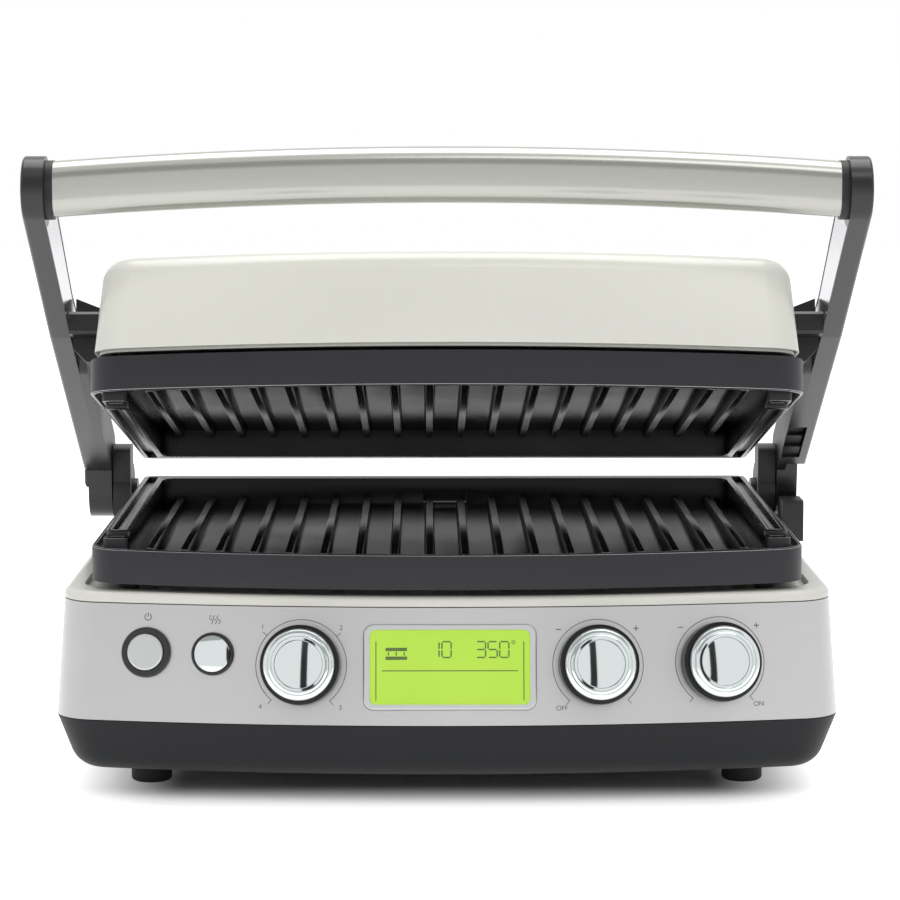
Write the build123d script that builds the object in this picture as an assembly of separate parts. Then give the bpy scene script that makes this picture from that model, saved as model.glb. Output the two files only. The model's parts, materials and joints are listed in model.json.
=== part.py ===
from build123d import *
import math
import os

# Contact grill, millimetres, +Z up, front towards -Y, shown ajar as it stands over food.
# Depths are measured back from the front corners of the lower plate; save() centres them.
MID_DEPTH = 127.7
CLEAR = 0.3
FAR = 400.0

# Base
FOOT_HEIGHT = 14.5
FOOT_RADIUS = 10.2
FOOT_X = 149.0
FOOT_DEPTHS = (40.0, 245.0)
TRAY_TOP = 41.6
TRAY_WALL = 2.5
TRAY_TAPER = 9.5
TRAY_ROUND = 14.0
TRAY_LIP = (3.0, 5.0)
FASCIA_LOW = 42.0
FASCIA_HIGH = 97.4
FASCIA_WALL = 1.2
BASE_HALF_LOW = 191.6
BASE_HALF_HIGH = 188.7
BASE_FRONT_LOW = -35.0
BASE_FRONT_HIGH = -23.0
BASE_REAR = 297.0
BASE_BOW = 21.0
BASE_CORNER = 22.0
FASCIA_END = 240.0
ARM_RELIEF = 188.5
ARM_RELIEF_LOW = 83.0
DECK_LOW = 97.9
DECK_HIGH = 102.8
DECK_FIELD = 99.8
DECK_RIB = 96.0
DECK_ROUND = 3.4

# Plates
PLATE_HALF = 175.0
PLATE_FRONT = -25.0
PLATE_REAR = 236.0
PLATE_BOW = 25.0
PLATE_CORNER = 20.0
PLATE_LOW = 106.4
PLATE_LEDGE = 123.5
PLATE_FLOOR = 117.0
PLATE_SKIN = 3.2
PLATE_WALL = 5.0
PLATE_LIP = 2.0
PLATE_CHANNEL = 3.0
RIM_TOP = 131.7
RIM_FRONT_TOP = 129.6
RIM_STEP_TOP = 127.2
RIM_STEP_START = 7.0
RIM_OUTER = 168.7
RIM_INNER = 157.0
RIM_START = 18.0
RIM_END = 232.0
RIM_CORNER = 6.0
RIM_STEP_CORNER = 2.5
RIM_SLOT = (160.2, 165.6)
RIM_SLOT_DEPTHS = (RIM_START + 4, RIM_END - 6)
RIM_SLOT_DEEP = 2.5
STEP_POCKET_INSET = 2.0
POCKET_CORNER = 8.0
RIB_PITCH = 17.2
RIB_COUNT = 18
RIB_WIDTH = 5.4
RIB_CREST = 3.4
RIB_HEIGHT = 5.0
PARTING = 132.1

# Heaters
PAN_HALF = 145.0
PAN_FRONT = 30.0
PAN_REAR = 206.0
PAN_BOW = 16.0
PAN_CORNER = 10.0
PAN_LOW = 95.0
PAN_HIGH = 104.5
PAN_FLANGE = 7.0
PAN_SHEET = 1.0
ELEMENT_RADIUS = 3.3
ELEMENT_LEVEL = 102.0
ELEMENT_BEND = 18.0
PIN_RADIUS = 2.0
SENSOR_RADIUS = 5.0
SENSOR_DEPTH = 100.0

# Hinge and arms, as they stand with the press ajar
HINGE_DEPTH = 267.0
HINGE_LEVEL = 119.6
OPEN_ANGLE = 12.5
BARREL_RADIUS = 15.3
HINGE_PIN_RADIUS = 4.0
HINGE_BUSH_RADIUS = 6.0
POST_INNER = 178.6
POST_OUTER = 188.5
TOWER_DEPTHS = (253.0, 271.0)
TOWER_TOP = 146.0
TOWER_ROUND = 4.0
ARM_OUTER = 204.5
ARM_INNER = 193.7
ARM_LINER = 1.5
LINER_LIP = 1.2
KNUCKLE_INNER = 189.1
KNUCKLE_SEAM = 0.05
ARM_RADIUS = 13.5
ARM_END_RADIUS = 16.4
ARM_ELBOW = (262.0, 141.0)
ARM_WAIST = (102.7, 230.0)
ARM_END = (4.0, 297.5)
KNUCKLE_END = (142.9, 207.6)
LEFT_BARREL_OUTER = 202.4
HINGE_CAP = (200.9, 202.8)
HINGE_CAP_RADIUS = 9.5
RIGHT_BARREL_OUTER = 200.6
RIGHT_COVER_END = 136.8

# Handle
BAR_TALL = 27.0
BAR_DEEP = 21.0
BAR_ROUND = 9.0
BAR_WALL = 2.5
BAR_HALF = 189.6
BAR_BOW = 13.0
STUD_RADIUS = 5.0

# Head, worked out closed and level, then opened about the hinge
HEAD_FORWARD = 8.0
COVER_HALF_LOW = 173.4
COVER_HALF_HIGH = 169.6
COVER_FRONT_LOW = -32.5
COVER_FRONT_HIGH = -23.0
COVER_REAR = 229.0
COVER_CORNER = 20.0
COVER_LOW = 161.6
COVER_HIGH = 209.0
COVER_ROUND = 12.0
COVER_WALL = 1.4
TRIM_LOW = 160.2
TRIM_HIGH = 163.0
TRIM_INSET = 2.4
TRIM_WALL = 4.0
HEAD_FRAME_THICK = 2.5
PIVOT_DEPTH = 86.0
PIVOT_LEVEL = 186.0
PIVOT_PIN_RADIUS = 4.0
BRACKET_DEEP = 40.0
BRACKET_TALL = 11.5
WEB_INNER = 150.0
WEB_OUTER = ARM_INNER - 0.8
WEB_LOW = 168.0
WEB_CHAMFER = 7.0
WING_INNER = 180.0

# Controls on the fascia
KNOB_XS = (-70.7, 72.5, 132.0)
KNOB_LEVEL = 70.0
KNOB_RADIUS = 17.5
KNOB_HEIGHT = 12.4
KNOB_SKIRT = 19.4
KNOB_SKIRT_TOP = 7.0
KNOB_DOME = 0.7
SHAFT_RADIUS = 3.0
START_X = -146.0
SEAR_X = -113.5
BUTTON_LEVEL = 74.6
START_RADIUS = 8.9
SEAR_RADIUS = 9.1
START_RING = 12.2
SEAR_RING = 10.4
DISPLAY_X = 1.0
DISPLAY_WIDE = 83.3
DISPLAY_TALL = 41.0
DISPLAY_LEVEL = 69.5
DISPLAY_RIM = 3.0
DISPLAY_ROUND = 5.0
BOARD_BACK = 10.6
BOARD_THICK = 1.6

# Drip tray
DRIP_HALF = 69.0
DRIP_START = 208.0
DRIP_LOW = 51.0
DRIP_HIGH = 75.0

# Fixings and openings
BOARD_POST_RADIUS = 3.5
SCREW_BOSS_RADIUS = 5.0
SCREW_RADIUS = 1.75
SCREW_LENGTH = 14.0
SCREW_HEAD_RADIUS = 4.0
SCREW_HEAD_TALL = 2.4
HEAD_SCREW_RADIUS = 1.5
HEAD_SCREW_LENGTH = 12.0
CORD_HOLE_RADIUS = 7.0
CORD_RADIUS = 3.6
VENT_XS = range(96, 157, 10)
VENT_WIDE = 4.0
VENT_LEVELS = (56.0, 82.0)

# Places shared by more than one piece
BOARD_LEVEL = 24.0
BOARD_POSTS = [(x, depth) for x in (-144, -36) for depth in (96, 174)]
SCREW_SPOTS = [(x, depth) for x in (-110, 110) for depth in (30, 205)]
HEAD_SCREWS = [(x, depth) for x in (-157, 157) for depth in (40, 190)]
GLAND_X = -130.0
GLAND_LEVEL = 68.0
SPOUT_HALF = 12.0
SPOUT_LEVELS = (PLATE_FLOOR + 1, PLATE_FLOOR + 7)
REST_X = (152.6, 162.0)
REST_DEPTHS = (18.0, 212.0)
ELEMENT_ENDS = 16.0
ELEMENT_REAR = 190.0
ELEMENT_HALF = 122.0
ELEMENT_FRONT = 54.0
ELEMENT_FOLD = 150.0
RELEASE_DEPTH = 196.0
RELEASE_SLOT_X = (177.0, 186.0)
UPPER_RELEASE_DEPTH = 152.0
UPPER_RELEASE_LEVEL = 172.0
LEVER_DEPTHS = (225.0, 249.0)
LEVER_LEVELS = (103.6, 106.6)
LEVER_GRIP = (94.6, 118.0)
LEVER_X = (KNUCKLE_INNER + 0.6, RIGHT_BARREL_OUTER + 0.9)
SELECTOR_ALONG = 25.0
SELECTOR_LENGTH = 42.0
SELECTOR_TRAVEL = 7.0
SELECTOR_DEEP = 10.0
SELECTOR_X = (189.7, 199.6)

HINGE_AXIS = Axis((0, HINGE_DEPTH, HINGE_LEVEL), (-1, 0, 0))
FASCIA_LEAN = math.atan2(BASE_FRONT_HIGH - BASE_FRONT_LOW, FASCIA_HIGH - FASCIA_LOW)


def save(name, *shapes):
    """Write one sub-part, moved so that the whole object is centred."""
    solids = [Pos(0, -MID_DEPTH, 0) * solid for shape in shapes for solid in shape.solids()]
    export_step(solids[0] if len(solids) == 1 else Compound(solids), f"parts/{name}.step")


def opened(shape):
    """Turn a piece of the closed head up to the ajar position."""
    return shape.rotate(HINGE_AXIS, OPEN_ANGLE)


def above(shape):
    """Mirror a lower heater or plate piece to the head, closed, then open it."""
    twin = mirror(shape, about=Plane.XY.offset(PARTING))
    return opened(Pos(0, -HEAD_FORWARD, 0) * twin)


def both_sides(shape):
    """A right-hand piece and its left-hand twin."""
    return shape, mirror(shape, about=Plane.YZ)


def bowed(level, half, front, rear, bow, corner):
    """Plan outline with straight sides and a front edge that bows forward."""
    shoulder = front + bow
    outline = make_face([
        Line((-half, shoulder), (-half, rear)),
        Line((-half, rear), (half, rear)),
        Line((half, rear), (half, shoulder)),
        ThreePointArc((half, shoulder), (0, front), (-half, shoulder)),
    ])
    return Pos(0, 0, level) * fillet(outline.vertices(), corner)


def slab(low, high, half, front, rear, bow, corner):
    """A bowed outline given a height."""
    return extrude(bowed(low, half, front, rear, bow, corner), amount=high - low)


def block(x, depth, level):
    """A box from its limits along each axis."""
    size = [limit[1] - limit[0] for limit in (x, depth, level)]
    centre = [(limit[0] + limit[1]) / 2 for limit in (x, depth, level)]
    return Pos(*centre) * Box(*size)


def rod(radius, x, depth, level):
    """A round bar along X."""
    return Pos((x[0] + x[1]) / 2, depth, level) * Rot(0, 90, 0) * Cylinder(radius, x[1] - x[0])


def post(radius, x, depth, level):
    """An upright round bar."""
    return Pos(x, depth, (level[0] + level[1]) / 2) * Cylinder(radius, level[1] - level[0])


def base_outline(level, inset):
    """Outline of the base at one height of the fascia."""
    share = (level - FASCIA_LOW) / (FASCIA_HIGH - FASCIA_LOW)
    half = BASE_HALF_LOW + share * (BASE_HALF_HIGH - BASE_HALF_LOW)
    front = BASE_FRONT_LOW + share * (BASE_FRONT_HIGH - BASE_FRONT_LOW)
    return bowed(level, half - inset, front + inset, BASE_REAR - inset, BASE_BOW, BASE_CORNER - inset)


def base_wall(thick):
    """The upright band all round the base."""
    shells = [loft([base_outline(FASCIA_LOW, inset), base_outline(FASCIA_HIGH, inset)], ruled=True)
              for inset in (0.0, thick)]
    return shells[0] - shells[1]


def panel(x, level):
    """A plane on the fascia's face, its normal pointing out of it."""
    share = (level - FASCIA_LOW) / (FASCIA_HIGH - FASCIA_LOW)
    half = BASE_HALF_LOW + share * (BASE_HALF_HIGH - BASE_HALF_LOW)
    front = BASE_FRONT_LOW + share * (BASE_FRONT_HIGH - BASE_FRONT_LOW)
    radius = (half**2 + BASE_BOW**2) / (2 * BASE_BOW)
    turn = math.asin(x / radius)
    depth = front + radius * (1 - math.cos(turn))
    flat = math.cos(FASCIA_LEAN)
    out = (math.sin(turn) * flat, -math.cos(turn) * flat, math.sin(FASCIA_LEAN))
    return Plane(origin=(x, depth, level), x_dir=(math.cos(turn), math.sin(turn), 0), z_dir=out)


def disc(radius, low, high):
    """A round slice standing on a control's own plane."""
    return Pos(0, 0, (low + high) / 2) * Cylinder(radius, high - low)


def plate_of(wide, tall, low, high, corner=0.0):
    """A flat piece standing on a control's own plane."""
    face = RectangleRounded(wide, tall, corner) if corner else Rectangle(wide, tall)
    return extrude(Pos(0, 0, low) * face, amount=high - low)


def capsule(start, start_radius, end, end_radius):
    """Side-view outline of a link between two round ends."""
    ends = Pos(*start) * Circle(start_radius) + Pos(*end) * Circle(end_radius)
    return make_hull(ends.edges())


def sideways(face, x):
    """Give a side-view outline its width along X."""
    return extrude(Plane.YZ.offset(x[0]) * face, amount=x[1] - x[0])


def base_tray():
    """Open lower housing with round bottom edges, screw bosses and a locating lip."""
    def outline(level, inset):
        return bowed(level, BASE_HALF_LOW - inset, BASE_FRONT_LOW + inset, BASE_REAR - inset,
                     BASE_BOW, BASE_CORNER - inset / 2)

    def tub(inset, low):
        solid = loft([outline(low, TRAY_TAPER + inset), outline(TRAY_TOP, inset)], ruled=True)
        return fillet(solid.faces().sort_by(Axis.Z)[0].edges(), TRAY_ROUND - inset)
    tray = tub(0.0, FOOT_HEIGHT) - tub(TRAY_WALL, FOOT_HEIGHT + TRAY_WALL)
    lip = [extrude(outline(TRAY_TOP - 4, inset), amount=9) for inset in TRAY_LIP]
    tray += lip[0] - lip[1]
    for x, depth in BOARD_POSTS:
        tray += post(BOARD_POST_RADIUS, x, depth, (FOOT_HEIGHT + 1, BOARD_LEVEL))
    for x, depth in SCREW_SPOTS:
        tray += post(SCREW_BOSS_RADIUS, x, depth, (FOOT_HEIGHT + 1, FOOT_HEIGHT + SCREW_LENGTH + 2))
        tray -= post(SCREW_RADIUS + 0.05, x, depth, (FOOT_HEIGHT - 1, FOOT_HEIGHT + SCREW_LENGTH + 0.2))
    tray -= block((-DRIP_HALF - 6, DRIP_HALF + 6), (BASE_REAR - 12, BASE_REAR + 1), (TRAY_TOP, FAR))
    return tray


def feet():
    """Four rubber feet with a soft lower edge."""
    foot = post(FOOT_RADIUS, FOOT_X, 0, (0, FOOT_HEIGHT))
    foot = fillet(foot.edges().sort_by(Axis.Z)[0], 2.0)
    pads = []
    for depth in FOOT_DEPTHS:
        pads += both_sides(Pos(0, depth, 0) * foot)
    return pads


def base_screws():
    """Pan-head screws up through the tray floor."""
    screws = []
    for x, depth in SCREW_SPOTS:
        head = post(SCREW_HEAD_RADIUS, x, depth, (FOOT_HEIGHT - SCREW_HEAD_TALL, FOOT_HEIGHT))
        head = fillet(head.edges().sort_by(Axis.Z)[0], SCREW_HEAD_TALL / 2)
        screws.append(head + post(SCREW_RADIUS, x, depth, (FOOT_HEIGHT, FOOT_HEIGHT + SCREW_LENGTH)))
    return screws


def control_fascia():
    """Brushed band round the front and sides, pierced for the controls."""
    band = base_wall(FASCIA_WALL) - block((-FAR, FAR), (FASCIA_END, FAR), (0, FAR))
    for x in KNOB_XS:
        band -= panel(x, KNOB_LEVEL) * disc(5.0, -8, 8)
    for x, radius in ((START_X, START_RING), (SEAR_X, SEAR_RING)):
        band -= panel(x, BUTTON_LEVEL) * disc(radius - 1.0, -8, 8)
    return band - panel(DISPLAY_X, DISPLAY_LEVEL) * plate_of(
        DISPLAY_WIDE + 0.3, DISPLAY_TALL + 0.3, -8, 8, DISPLAY_ROUND)


def rear_panel():
    """Moulded rear wall with the drip tray's mouth, vents and the cord hole."""
    wall = base_wall(TRAY_WALL) - block((-FAR, FAR), (-FAR, FASCIA_END + 0.4), (0, FAR))
    wall -= block((-DRIP_HALF - 1, DRIP_HALF + 1), (BASE_REAR - 20, FAR), (DRIP_LOW - 1, DRIP_HIGH + 1))
    wall -= Pos(GLAND_X, BASE_REAR, GLAND_LEVEL) * Rot(90, 0, 0) * Cylinder(CORD_HOLE_RADIUS, 30)
    for x in VENT_XS:
        wall -= block((x, x + VENT_WIDE), (BASE_REAR - 20, FAR), VENT_LEVELS)
    for relief in both_sides(block((ARM_RELIEF, FAR), (HINGE_DEPTH - 10, FAR), (ARM_RELIEF_LOW, FAR))):
        wall -= relief
    return wall


def deck_frame():
    """Painted top of the base: rounded lip, sunken field and the heater opening."""
    lip = slab(DECK_LOW, DECK_HIGH, BASE_HALF_HIGH, BASE_FRONT_HIGH, BASE_REAR, BASE_BOW, BASE_CORNER)
    lip = fillet(lip.faces().sort_by(Axis.Z)[-1].edges(), DECK_ROUND)
    inset = TRAY_WALL + 0.6
    rib = slab(DECK_RIB, DECK_LOW, BASE_HALF_HIGH - inset, BASE_FRONT_HIGH + inset,
               BASE_REAR - inset, BASE_BOW, BASE_CORNER - inset)
    deck = lip + rib
    deck -= slab(DECK_FIELD, DECK_HIGH + 1, PLATE_HALF + 4.8, PLATE_FRONT + 10, PLATE_REAR + 6,
                 PLATE_BOW, PLATE_CORNER)
    deck -= slab(0, FAR, PAN_HALF + 0.5, PAN_FRONT - 0.5, PAN_REAR + 0.5, PAN_BOW, PAN_CORNER + 0.5)
    deck -= block((-SPOUT_HALF - 6, SPOUT_HALF + 6), (PLATE_REAR + 1, PLATE_REAR + 13), (0, FAR))
    slot = block(RELEASE_SLOT_X, (RELEASE_DEPTH - 4.4, RELEASE_DEPTH + 4.4), (0, FAR))
    return deck - slot


def heater_pan():
    """Pressed reflector tray with a resting flange and holes for the terminals and sensor."""
    outer = slab(PAN_LOW, PAN_HIGH, PAN_HALF, PAN_FRONT, PAN_REAR, PAN_BOW, PAN_CORNER)
    flange = slab(DECK_FIELD, DECK_FIELD + PAN_SHEET, PAN_HALF + PAN_FLANGE, PAN_FRONT - PAN_FLANGE,
                  PAN_REAR + 4, PAN_BOW, PAN_CORNER + PAN_FLANGE)
    inner = slab(PAN_LOW + PAN_SHEET, FAR, PAN_HALF - PAN_SHEET, PAN_FRONT + PAN_SHEET,
                 PAN_REAR - PAN_SHEET, PAN_BOW, PAN_CORNER - PAN_SHEET)
    pan = outer + flange - inner
    for x in (-ELEMENT_ENDS, ELEMENT_ENDS):
        pan -= post(PIN_RADIUS + 0.8, x, ELEMENT_REAR, (0, FAR))
    return pan - post(SENSOR_RADIUS + 0.2, 0, SENSOR_DEPTH, (0, FAR))


def heating_element():
    """Bent tubular heater with two terminal pins."""
    right = [(ELEMENT_ENDS, ELEMENT_REAR), (ELEMENT_HALF, ELEMENT_REAR), (ELEMENT_HALF, ELEMENT_FRONT),
             (ELEMENT_HALF / 2, ELEMENT_FRONT), (ELEMENT_HALF / 2, ELEMENT_FOLD)]
    left = [(-x, depth) for x, depth in reversed(right)]
    route = FilletPolyline(*[(x, depth, ELEMENT_LEVEL) for x, depth in right + left], radius=ELEMENT_BEND)
    section = Plane(origin=route @ 0, z_dir=route % 0) * Circle(ELEMENT_RADIUS)
    tube = sweep(section, path=route)
    for x in (-ELEMENT_ENDS, ELEMENT_ENDS):
        tube += post(PIN_RADIUS, x, ELEMENT_REAR, (PAN_LOW - 8, ELEMENT_LEVEL))
    return tube


def sensor():
    """Spring-loaded temperature probe that looks up at the plate."""
    stem = post(SENSOR_RADIUS, 0, SENSOR_DEPTH, (PAN_LOW - 6, PLATE_LOW - 0.8))
    return stem + post(SENSOR_RADIUS + 3, 0, SENSOR_DEPTH, (PAN_LOW - 6, PAN_LOW - 3))


def plate_hooks():
    """Four rests that carry a plate off the deck."""
    rests = []
    for depth in REST_DEPTHS:
        rest = block(REST_X, (depth - 5, depth + 5), (DECK_FIELD, PLATE_LOW - CLEAR))
        rests += both_sides(chamfer(rest.edges().filter_by(Axis.Z), 1.5))
    return rests


def grill_plate(drained):
    """Cast plate: skirt, sunken floor, raised rims, front-to-back ribs and, drained, a rear spout."""
    body = slab(PLATE_LOW, PLATE_LEDGE, PLATE_HALF, PLATE_FRONT, PLATE_REAR, PLATE_BOW, PLATE_CORNER)
    body = chamfer(body.faces().sort_by(Axis.Z)[-1].edges(), 0.6)
    channel = PLATE_LEDGE - PLATE_CHANNEL
    body -= slab(channel, FAR, PLATE_HALF - PLATE_LIP, PLATE_FRONT + PLATE_LIP, PLATE_REAR - PLATE_LIP,
                 PLATE_BOW, PLATE_CORNER - PLATE_LIP)
    side = Polyline((RIM_START, channel - 1), (RIM_END, channel - 1), (RIM_END, RIM_TOP),
                    (RIM_START, RIM_FRONT_TOP), close=True)
    rim = sideways(make_face(side), (-RIM_OUTER, RIM_OUTER))
    rim = fillet(rim.edges().filter_by(Axis.Z), RIM_CORNER)
    rim = fillet(rim.faces().sort_by(Axis.Z)[-1].edges(), 1.2)
    step = block((RIM_INNER, RIM_OUTER), (RIM_STEP_START, RIM_START + RIM_CORNER + 1),
                 (channel - 1, RIM_STEP_TOP))
    step = fillet(step.edges().filter_by(Axis.Z), RIM_STEP_CORNER)
    body += [rim, *both_sides(step)]
    body -= both_sides(rim_slots())
    body -= slab(PLATE_FLOOR, FAR, RIM_INNER, PLATE_FRONT + 8, RIM_END - 12, PLATE_BOW, POCKET_CORNER)
    profile = make_face(Polyline((-RIB_WIDTH / 2, 0), (RIB_WIDTH / 2, 0), (RIB_CREST / 2, RIB_HEIGHT),
                                 (-RIB_CREST / 2, RIB_HEIGHT), close=True))
    length = RIM_END - PLATE_FRONT
    rib = extrude(Plane.XZ.offset(-RIM_END) * Pos(0, PLATE_FLOOR) * profile, amount=length)
    ribs = [Pos((i - (RIB_COUNT - 1) / 2) * RIB_PITCH, 0, 0) * rib for i in range(RIB_COUNT)]
    room = slab(PLATE_FLOOR - 1, FAR, RIM_INNER - 3, PLATE_FRONT + 12, RIM_END - 22, PLATE_BOW, POCKET_CORNER)
    body += [one & room for one in ribs]
    body -= slab(0, PLATE_FLOOR - PLATE_SKIN, PLATE_HALF - PLATE_WALL, PLATE_FRONT + PLATE_WALL,
                 PLATE_REAR - PLATE_WALL, PLATE_BOW, PLATE_CORNER - PLATE_WALL)
    for depth in REST_DEPTHS:
        body += both_sides(block(REST_X, (depth - 6, depth + 6), (PLATE_LOW, PLATE_FLOOR)))
    if drained:
        body -= block((-SPOUT_HALF, SPOUT_HALF), (RIM_END - 14, FAR), SPOUT_LEVELS)
    return body


def rim_slots():
    """Long slot along a rim's top and the short pocket on its front step."""
    front, rear = RIM_SLOT_DEPTHS
    side = Polyline((front, RIM_FRONT_TOP - RIM_SLOT_DEEP), (rear, RIM_TOP - RIM_SLOT_DEEP),
                    (rear, FAR), (front, FAR), close=True)
    slot = sideways(make_face(side), RIM_SLOT)
    pocket = block((RIM_INNER + STEP_POCKET_INSET, RIM_OUTER - STEP_POCKET_INSET),
                   (RIM_STEP_START + STEP_POCKET_INSET, RIM_START - STEP_POCKET_INSET),
                   (RIM_STEP_TOP - RIM_SLOT_DEEP, FAR))
    return fillet(slot.edges().filter_by(Axis.Z), 2.0) + fillet(pocket.edges().filter_by(Axis.Z), 2.0)


def knob():
    """Chrome knob on a shaft: wide skirt, bevelled rim, shallow rings and a slightly domed face."""
    edge = KNOB_RADIUS - 1.6
    rim = edge - 3.2
    sphere = (rim**2 + KNOB_DOME**2) / (2 * KNOB_DOME)
    halfway = KNOB_HEIGHT - sphere + math.sqrt(sphere**2 - rim**2 / 4)
    crown = ThreePointArc((rim, KNOB_HEIGHT - KNOB_DOME), (rim / 2, halfway), (0, KNOB_HEIGHT))
    outline = Polyline((0, -9), (SHAFT_RADIUS, -9), (SHAFT_RADIUS, 1.0), (KNOB_SKIRT, 1.0),
                       (KNOB_SKIRT - 0.2, KNOB_SKIRT_TOP), (KNOB_RADIUS, KNOB_SKIRT_TOP + 0.4),
                       (KNOB_RADIUS - 0.3, KNOB_HEIGHT - 2.2), (edge, KNOB_HEIGHT - 0.6),
                       (edge - 2.0, KNOB_HEIGHT - 0.6), (edge - 2.4, KNOB_HEIGHT - 1.3),
                       (edge - 2.9, KNOB_HEIGHT - 1.3), (rim, KNOB_HEIGHT - KNOB_DOME))
    face = make_face([outline, crown, Line((0, KNOB_HEIGHT), (0, -9))])
    return revolve(Plane.XZ * face, axis=Axis.Z)


def encoders():
    """Rotary encoders that the knob shafts turn in."""
    units = []
    for x in KNOB_XS:
        unit = plate_of(13, 12, -9.6, -2.6) + disc(4.5, -2.6, -0.2)
        units.append(panel(x, KNOB_LEVEL) * (unit - disc(SHAFT_RADIUS + 0.05, -9.2, 1)))
    return units


def button(radius, dome):
    """Push button with a stem that reaches back to its switch."""
    cap = disc(radius, -1.5, 3.6)
    cap = fillet(cap.edges().sort_by(Axis.Z)[-1], dome)
    return cap + disc(3.0, -6.0, -1.5)


def button_ring(outer, inner):
    """Collar that guides a button through the fascia."""
    flange = disc(outer, 0.25, 2.2)
    flange = fillet(flange.edges().sort_by(Axis.Z)[-1], 1.0)
    return flange + disc(outer - 1.15, -2.2, 0.25) - disc(inner + 0.25, -9, 9)


def switches():
    """Tact switches behind the buttons."""
    units = []
    for x in (START_X, SEAR_X):
        units.append(panel(x, BUTTON_LEVEL) * (plate_of(7, 7, -10.2, -8.6) + disc(2.0, -8.6, -8.0)))
    return units


def display_bezel():
    """Silver rim round the display's window."""
    rim = plate_of(DISPLAY_WIDE, DISPLAY_TALL, -3.0, 1.4, DISPLAY_ROUND)
    rim = fillet(rim.faces().sort_by(Axis.Z)[-1].edges(), 0.8)
    window = plate_of(DISPLAY_WIDE - 2 * DISPLAY_RIM, DISPLAY_TALL - 2 * DISPLAY_RIM + 1, -9, 9, 3.0)
    return panel(DISPLAY_X, DISPLAY_LEVEL) * (rim - window)


def display_sheet(low, high):
    """A layer that fills the bezel's window."""
    wide = DISPLAY_WIDE - 2 * DISPLAY_RIM - 0.2
    tall = DISPLAY_TALL - 2 * DISPLAY_RIM + 0.8
    return panel(DISPLAY_X, DISPLAY_LEVEL) * plate_of(wide, tall, low, high, 2.9)


def control_boards():
    """Three small boards behind the display, the buttons and the knobs."""
    boards = []
    for x, wide in ((-107.0, 112), (0.0, 84), (103.0, 92)):
        sheet = plate_of(wide, 40, -BOARD_BACK - BOARD_THICK - 1.2, -BOARD_BACK - 1.2)
        boards.append(panel(x, KNOB_LEVEL) * sheet)
    return boards


def power_board():
    """Mains board on its posts."""
    return block((-150, -30), (90, 180), (BOARD_LEVEL, BOARD_LEVEL + BOARD_THICK))


def power_components():
    """Transformer, relays and capacitor on the mains board."""
    top = BOARD_LEVEL + BOARD_THICK
    transformer = chamfer(block((-142, -102), (110, 145), (top, top + 30)).edges().filter_by(Axis.Z), 2)
    relays = [block((x, x + 20), (100, 116), (top, top + 16)) for x in (-92, -66)]
    capacitor = post(9.0, -60, 150, (top, top + 24))
    return [transformer, capacitor] + relays


def hinge_post():
    """Upright on the deck that carries the hinge pin."""
    face = capsule((HINGE_DEPTH, HINGE_LEVEL), BARREL_RADIUS, (HINGE_DEPTH, DECK_HIGH + 9), 14)
    upright = sideways(face, (POST_INNER, POST_OUTER))
    tower = block((POST_INNER, POST_OUTER), TOWER_DEPTHS, (HINGE_LEVEL, TOWER_TOP))
    upright += fillet(tower.edges().filter_by(Axis.X).sort_by(Axis.Z)[-2:], TOWER_ROUND)
    upright &= block((0, FAR), (0, FAR), (DECK_HIGH, FAR))
    return upright - rod(HINGE_PIN_RADIUS + 0.02, (0, FAR), HINGE_DEPTH, HINGE_LEVEL)


def hinge_pin():
    """Headed pin from an upright into an arm."""
    shaft = rod(HINGE_PIN_RADIUS, (POST_INNER - 1, RIGHT_BARREL_OUTER - 3), HINGE_DEPTH, HINGE_LEVEL)
    return shaft + rod(HINGE_PIN_RADIUS + 2.5, (POST_INNER - 3, POST_INNER - 0.05), HINGE_DEPTH, HINGE_LEVEL)


def hinge_bush():
    """Steel sleeve in an arm that turns on the hinge pin."""
    ring = rod(HINGE_BUSH_RADIUS, (KNUCKLE_INNER, RIGHT_BARREL_OUTER - 2), HINGE_DEPTH, HINGE_LEVEL)
    return ring - rod(HINGE_PIN_RADIUS + 0.05, (0, FAR), HINGE_DEPTH, HINGE_LEVEL)


def arm_outline(trim):
    """Side view of an arm, from the hinge barrel by the elbow and waist to the handle end."""
    hinge = (HINGE_DEPTH, HINGE_LEVEL)
    lower = capsule(hinge, BARREL_RADIUS - trim, ARM_ELBOW, ARM_RADIUS - trim)
    middle = capsule(ARM_ELBOW, ARM_RADIUS - trim, ARM_WAIST, ARM_RADIUS - 1.0 - trim)
    upper = capsule(ARM_WAIST, ARM_RADIUS - 1.0 - trim, ARM_END, ARM_END_RADIUS - trim)
    return lower + middle + upper


def arm_holes():
    """Bores for the hinge bush, the head pivot and the handle stud."""
    pivot = opened(rod(PIVOT_PIN_RADIUS + 0.03, (150, ARM_OUTER - 3), PIVOT_DEPTH, PIVOT_LEVEL))
    stud = rod(STUD_RADIUS + 0.03, (150, ARM_OUTER - 4), *ARM_END)
    bush = rod(HINGE_BUSH_RADIUS + 0.03, (150, RIGHT_BARREL_OUTER - 1.9), HINGE_DEPTH, HINGE_LEVEL)
    return pivot + stud + bush


def liner_outline(grow):
    """Side view of the polished sheet, between the handle end and the knuckle."""
    face = arm_outline(LINER_LIP - grow)
    face -= Pos(*ARM_END) * Circle(ARM_END_RADIUS + 1.6 - grow)
    face -= capsule(ARM_ELBOW, ARM_RADIUS + 4 - grow, KNUCKLE_END, ARM_RADIUS + 4 - grow)
    return face.faces().sort_by(Axis.Y)[-1]


def arm_cover():
    """Moulded outer shell of an arm."""
    shell = sideways(arm_outline(0.0), (ARM_INNER, ARM_OUTER))
    outer_face = shell.faces().sort_by(Axis.X)[-1]
    shell = fillet(outer_face.edges(), 1.6) - arm_holes()
    return shell - sideways(liner_outline(0.05), (ARM_INNER, ARM_INNER + ARM_LINER))


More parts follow.
